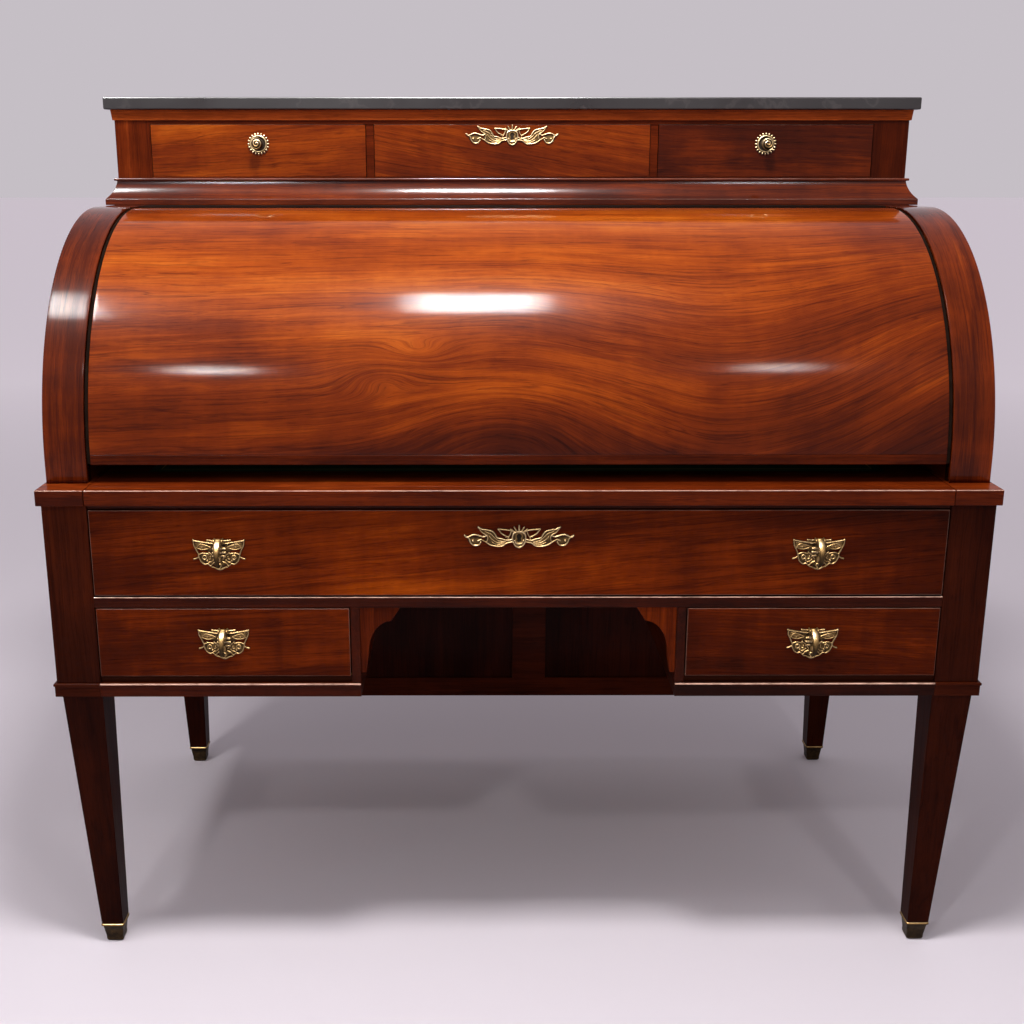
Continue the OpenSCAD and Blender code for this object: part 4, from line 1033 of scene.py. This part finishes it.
def mount(pull, face):
    """A pull's back plate with its two ears and the pin across them."""
    x, pin_y, pin_z = pin_of(pull)
    parts = [relief(BAT, (x, pin_z - 21.5 * MM), face, BAT_HOLES)]
    for side in (-1, 1):
        near, far = sorted((x + side * 4.9 * MM, x + side * 7.0 * MM))
        parts.append(lug(near, far, face - 0.5 * MM, pin_y, pin_z, 3.2 * MM))
    parts.append(rod(x - 6.6 * MM, x + 6.6 * MM, pin_y, pin_z, 1.6 * MM))
    return parts


def brass_pieces():
    """The pulls with their plates, the keyhole plates, the shoes and the knobs."""
    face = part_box("long_drawer_front")[0].y
    gradin_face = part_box("gradin_middle_front")[0].y
    for node, pulls in (("long_drawer_plates", ("long_pull_left", "long_pull_right")),
                        ("short_left_plate", ["short_left_pull"]),
                        ("short_right_plate", ["short_right_pull"])):
        add_piece(node, join_data([part for pull in pulls for part in mount(pull, face)]))
        for pull in pulls:
            pull_loop(pull, face)
    for node, plane in (("long_drawer_escutcheon", face), ("gradin_middle_escutcheon", gradin_face)):
        add_piece(node, relief(WING_KEY, centre_of(node), plane, KEYHOLE))
    sabots("sabots")
    knob("gradin_left_knob", 1)
    knob("gradin_right_knob", -1)


# ---------------- the desk

set_camera()
set_world((0.47, 0.45, 0.47), (0.56, 0.52, 0.56))
floor((0.66, 0.6, 0.65), (0.93, 0.87, 0.92), (0.15, 0.13, 0.15))
ceiling_panel("lamp_main", (-0.25, 0.12), (-0.98, -0.60), 107, 600)
ceiling_panel("lamp_left", (-1.24, -0.99), (-3.04, -2.8), 130, 600)
ceiling_panel("lamp_right", (0.99, 1.21), (-2.92, -2.68), 95, 360)
ceiling_panel("lamp_far_left", (-1.42, -1.2), (-1.10, -0.60), 50, 600)
materials = make_materials()

for node, form in frame["nodes"].items():
    form.data.materials.clear()
    form.data.materials.append(materials[slot_of[node]])

# Each node's look, as dress takes it. A place that reaches over the whole desk is ALL wide or high.
ALL = 9
ledge_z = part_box("slide_edge")[1].z
LOOK = {
    "marble_top": dict(bevel=0.9, segments=3),
    # The cornice is painted lighter: painted light for what the marble's overhang keeps off it.
    "cornice": dict(axis=frame_axis, shade=0.4),
    "base_moulding": dict(bevel=1.2, axis=frame_axis, shade=-0.11, worn=0.12, finish="polished_mahogany"),
    "gradin_carcass": dict(
        axis=stile_axis, cuts=STILES,
        places=[(0.66, 1.23, 0.12, 0.2, -0.14), (-0.66, 1.23, 0.12, 0.2, 0.05)]),
    "gradin_left_front": dict(
        lean=0.05, shade=0.02, worn=0.1, cuts=even_cuts("gradin_left_front"),
        places=[(-0.55, 1.23, 0.12, ALL, 0.22)]),
    "gradin_middle_front": dict(lean=-0.17, shade=-0.01, worn=0.1),
    "gradin_right_front": dict(lean=-0.04, shade=-0.21, worn=0.1),
    "long_drawer_front": dict(
        lean=0.09, shade=-0.06, worn=0.4, finish="drawer_mahogany", cuts=even_cuts("long_drawer_front"),
        places=[(-0.62, 0.66, 0.2, ALL, -0.09), (-0.25, 0.66, 0.15, ALL, 0.08),
                (0.02, 0.66, 0.12, ALL, -0.04), (0.62, 0.66, 0.2, ALL, -0.23)]),
    "short_left_front": dict(lean=0.04, shade=-0.15, worn=0.3, finish="drawer_mahogany"),
    "short_right_front": dict(lean=-0.03, shade=-0.19, worn=0.3, finish="drawer_mahogany"),
    "slide_board": dict(shade=0.1),
    # The thin lighter band at ledge_z along the slide's edge and the ledge is a painted highlight on their top
    # arris.
    "slide_edge": dict(bevel=1.2, shade=0.02, worn=0.8, places=[(0, ledge_z, ALL, 0.8 * MM, 0.1)]),
    "ledge_frame": dict(
        bevel=1.0, axis=frame_axis, shade=-0.1, worn=0.8, places=[(0, ledge_z, ALL, 0.8 * MM, 0.22)]),
    "front_rails": dict(bevel=1.1, shade=-0.3, worn=1.0),
    "bottom_rails": dict(
        bevel=1.1, axis=frame_axis, shade=-0.26, worn=1.0, places=[(0.45, 0.45, 0.3, 0.2, -0.2)]),
    "leg_collars": dict(axis=frame_axis),
    "kneehole_brackets": dict(shade=-0.22, finish="drawer_mahogany", places=[(0.2, 0.5, 0.1, 0.3, 0.08)]),
    "kneehole_sides": dict(shade=-0.24),
    # The pedestal floors' front faces get painted shade, for the shadow under the drawers.
    "pedestal_floors": dict(painted_front_shade=True),
    # Painted light and shade: the back's boards and the rear legs are lighter on their rear faces (behind), where
    # the lamps, all in front, don't reach; the back panels' low shade is painted shade, as seen through the
    # kneehole.
    "back_frame": dict(shade=-0.05, behind=0.35),
    "back_panels": dict(axis=upright_axis, shade=-0.3, behind=0.55),
    "front_left_leg": dict(shade=-0.3, places=[(-0.66, 0.64, 0.3, 0.17, 0.7)]),
    "front_right_leg": dict(shade=-0.2, places=[(0.66, 0.64, 0.3, 0.17, 0.02)]),
    "rear_left_leg": dict(shade=-0.25, behind=0.3),
    "rear_right_leg": dict(shade=-0.25, behind=0.3),
}

curved_board("cylinder_panel", "figured_mahogany", 260, 160, fall_grain, fall_tone)
curved_board("cylinder_lip", "mahogany", 40, 12, lambda x, s: np.stack([x, s, s * 0 + 4], -1),
             lambda x, s: s * 0 - 0.07)
band("quadrant_band_left")
band("quadrant_band_right")
leather_panel("slide_leather")
brass_pieces()
for node in frame["nodes"]:
    if node not in covered:
        dress(node, **LOOK.get(node, {}))
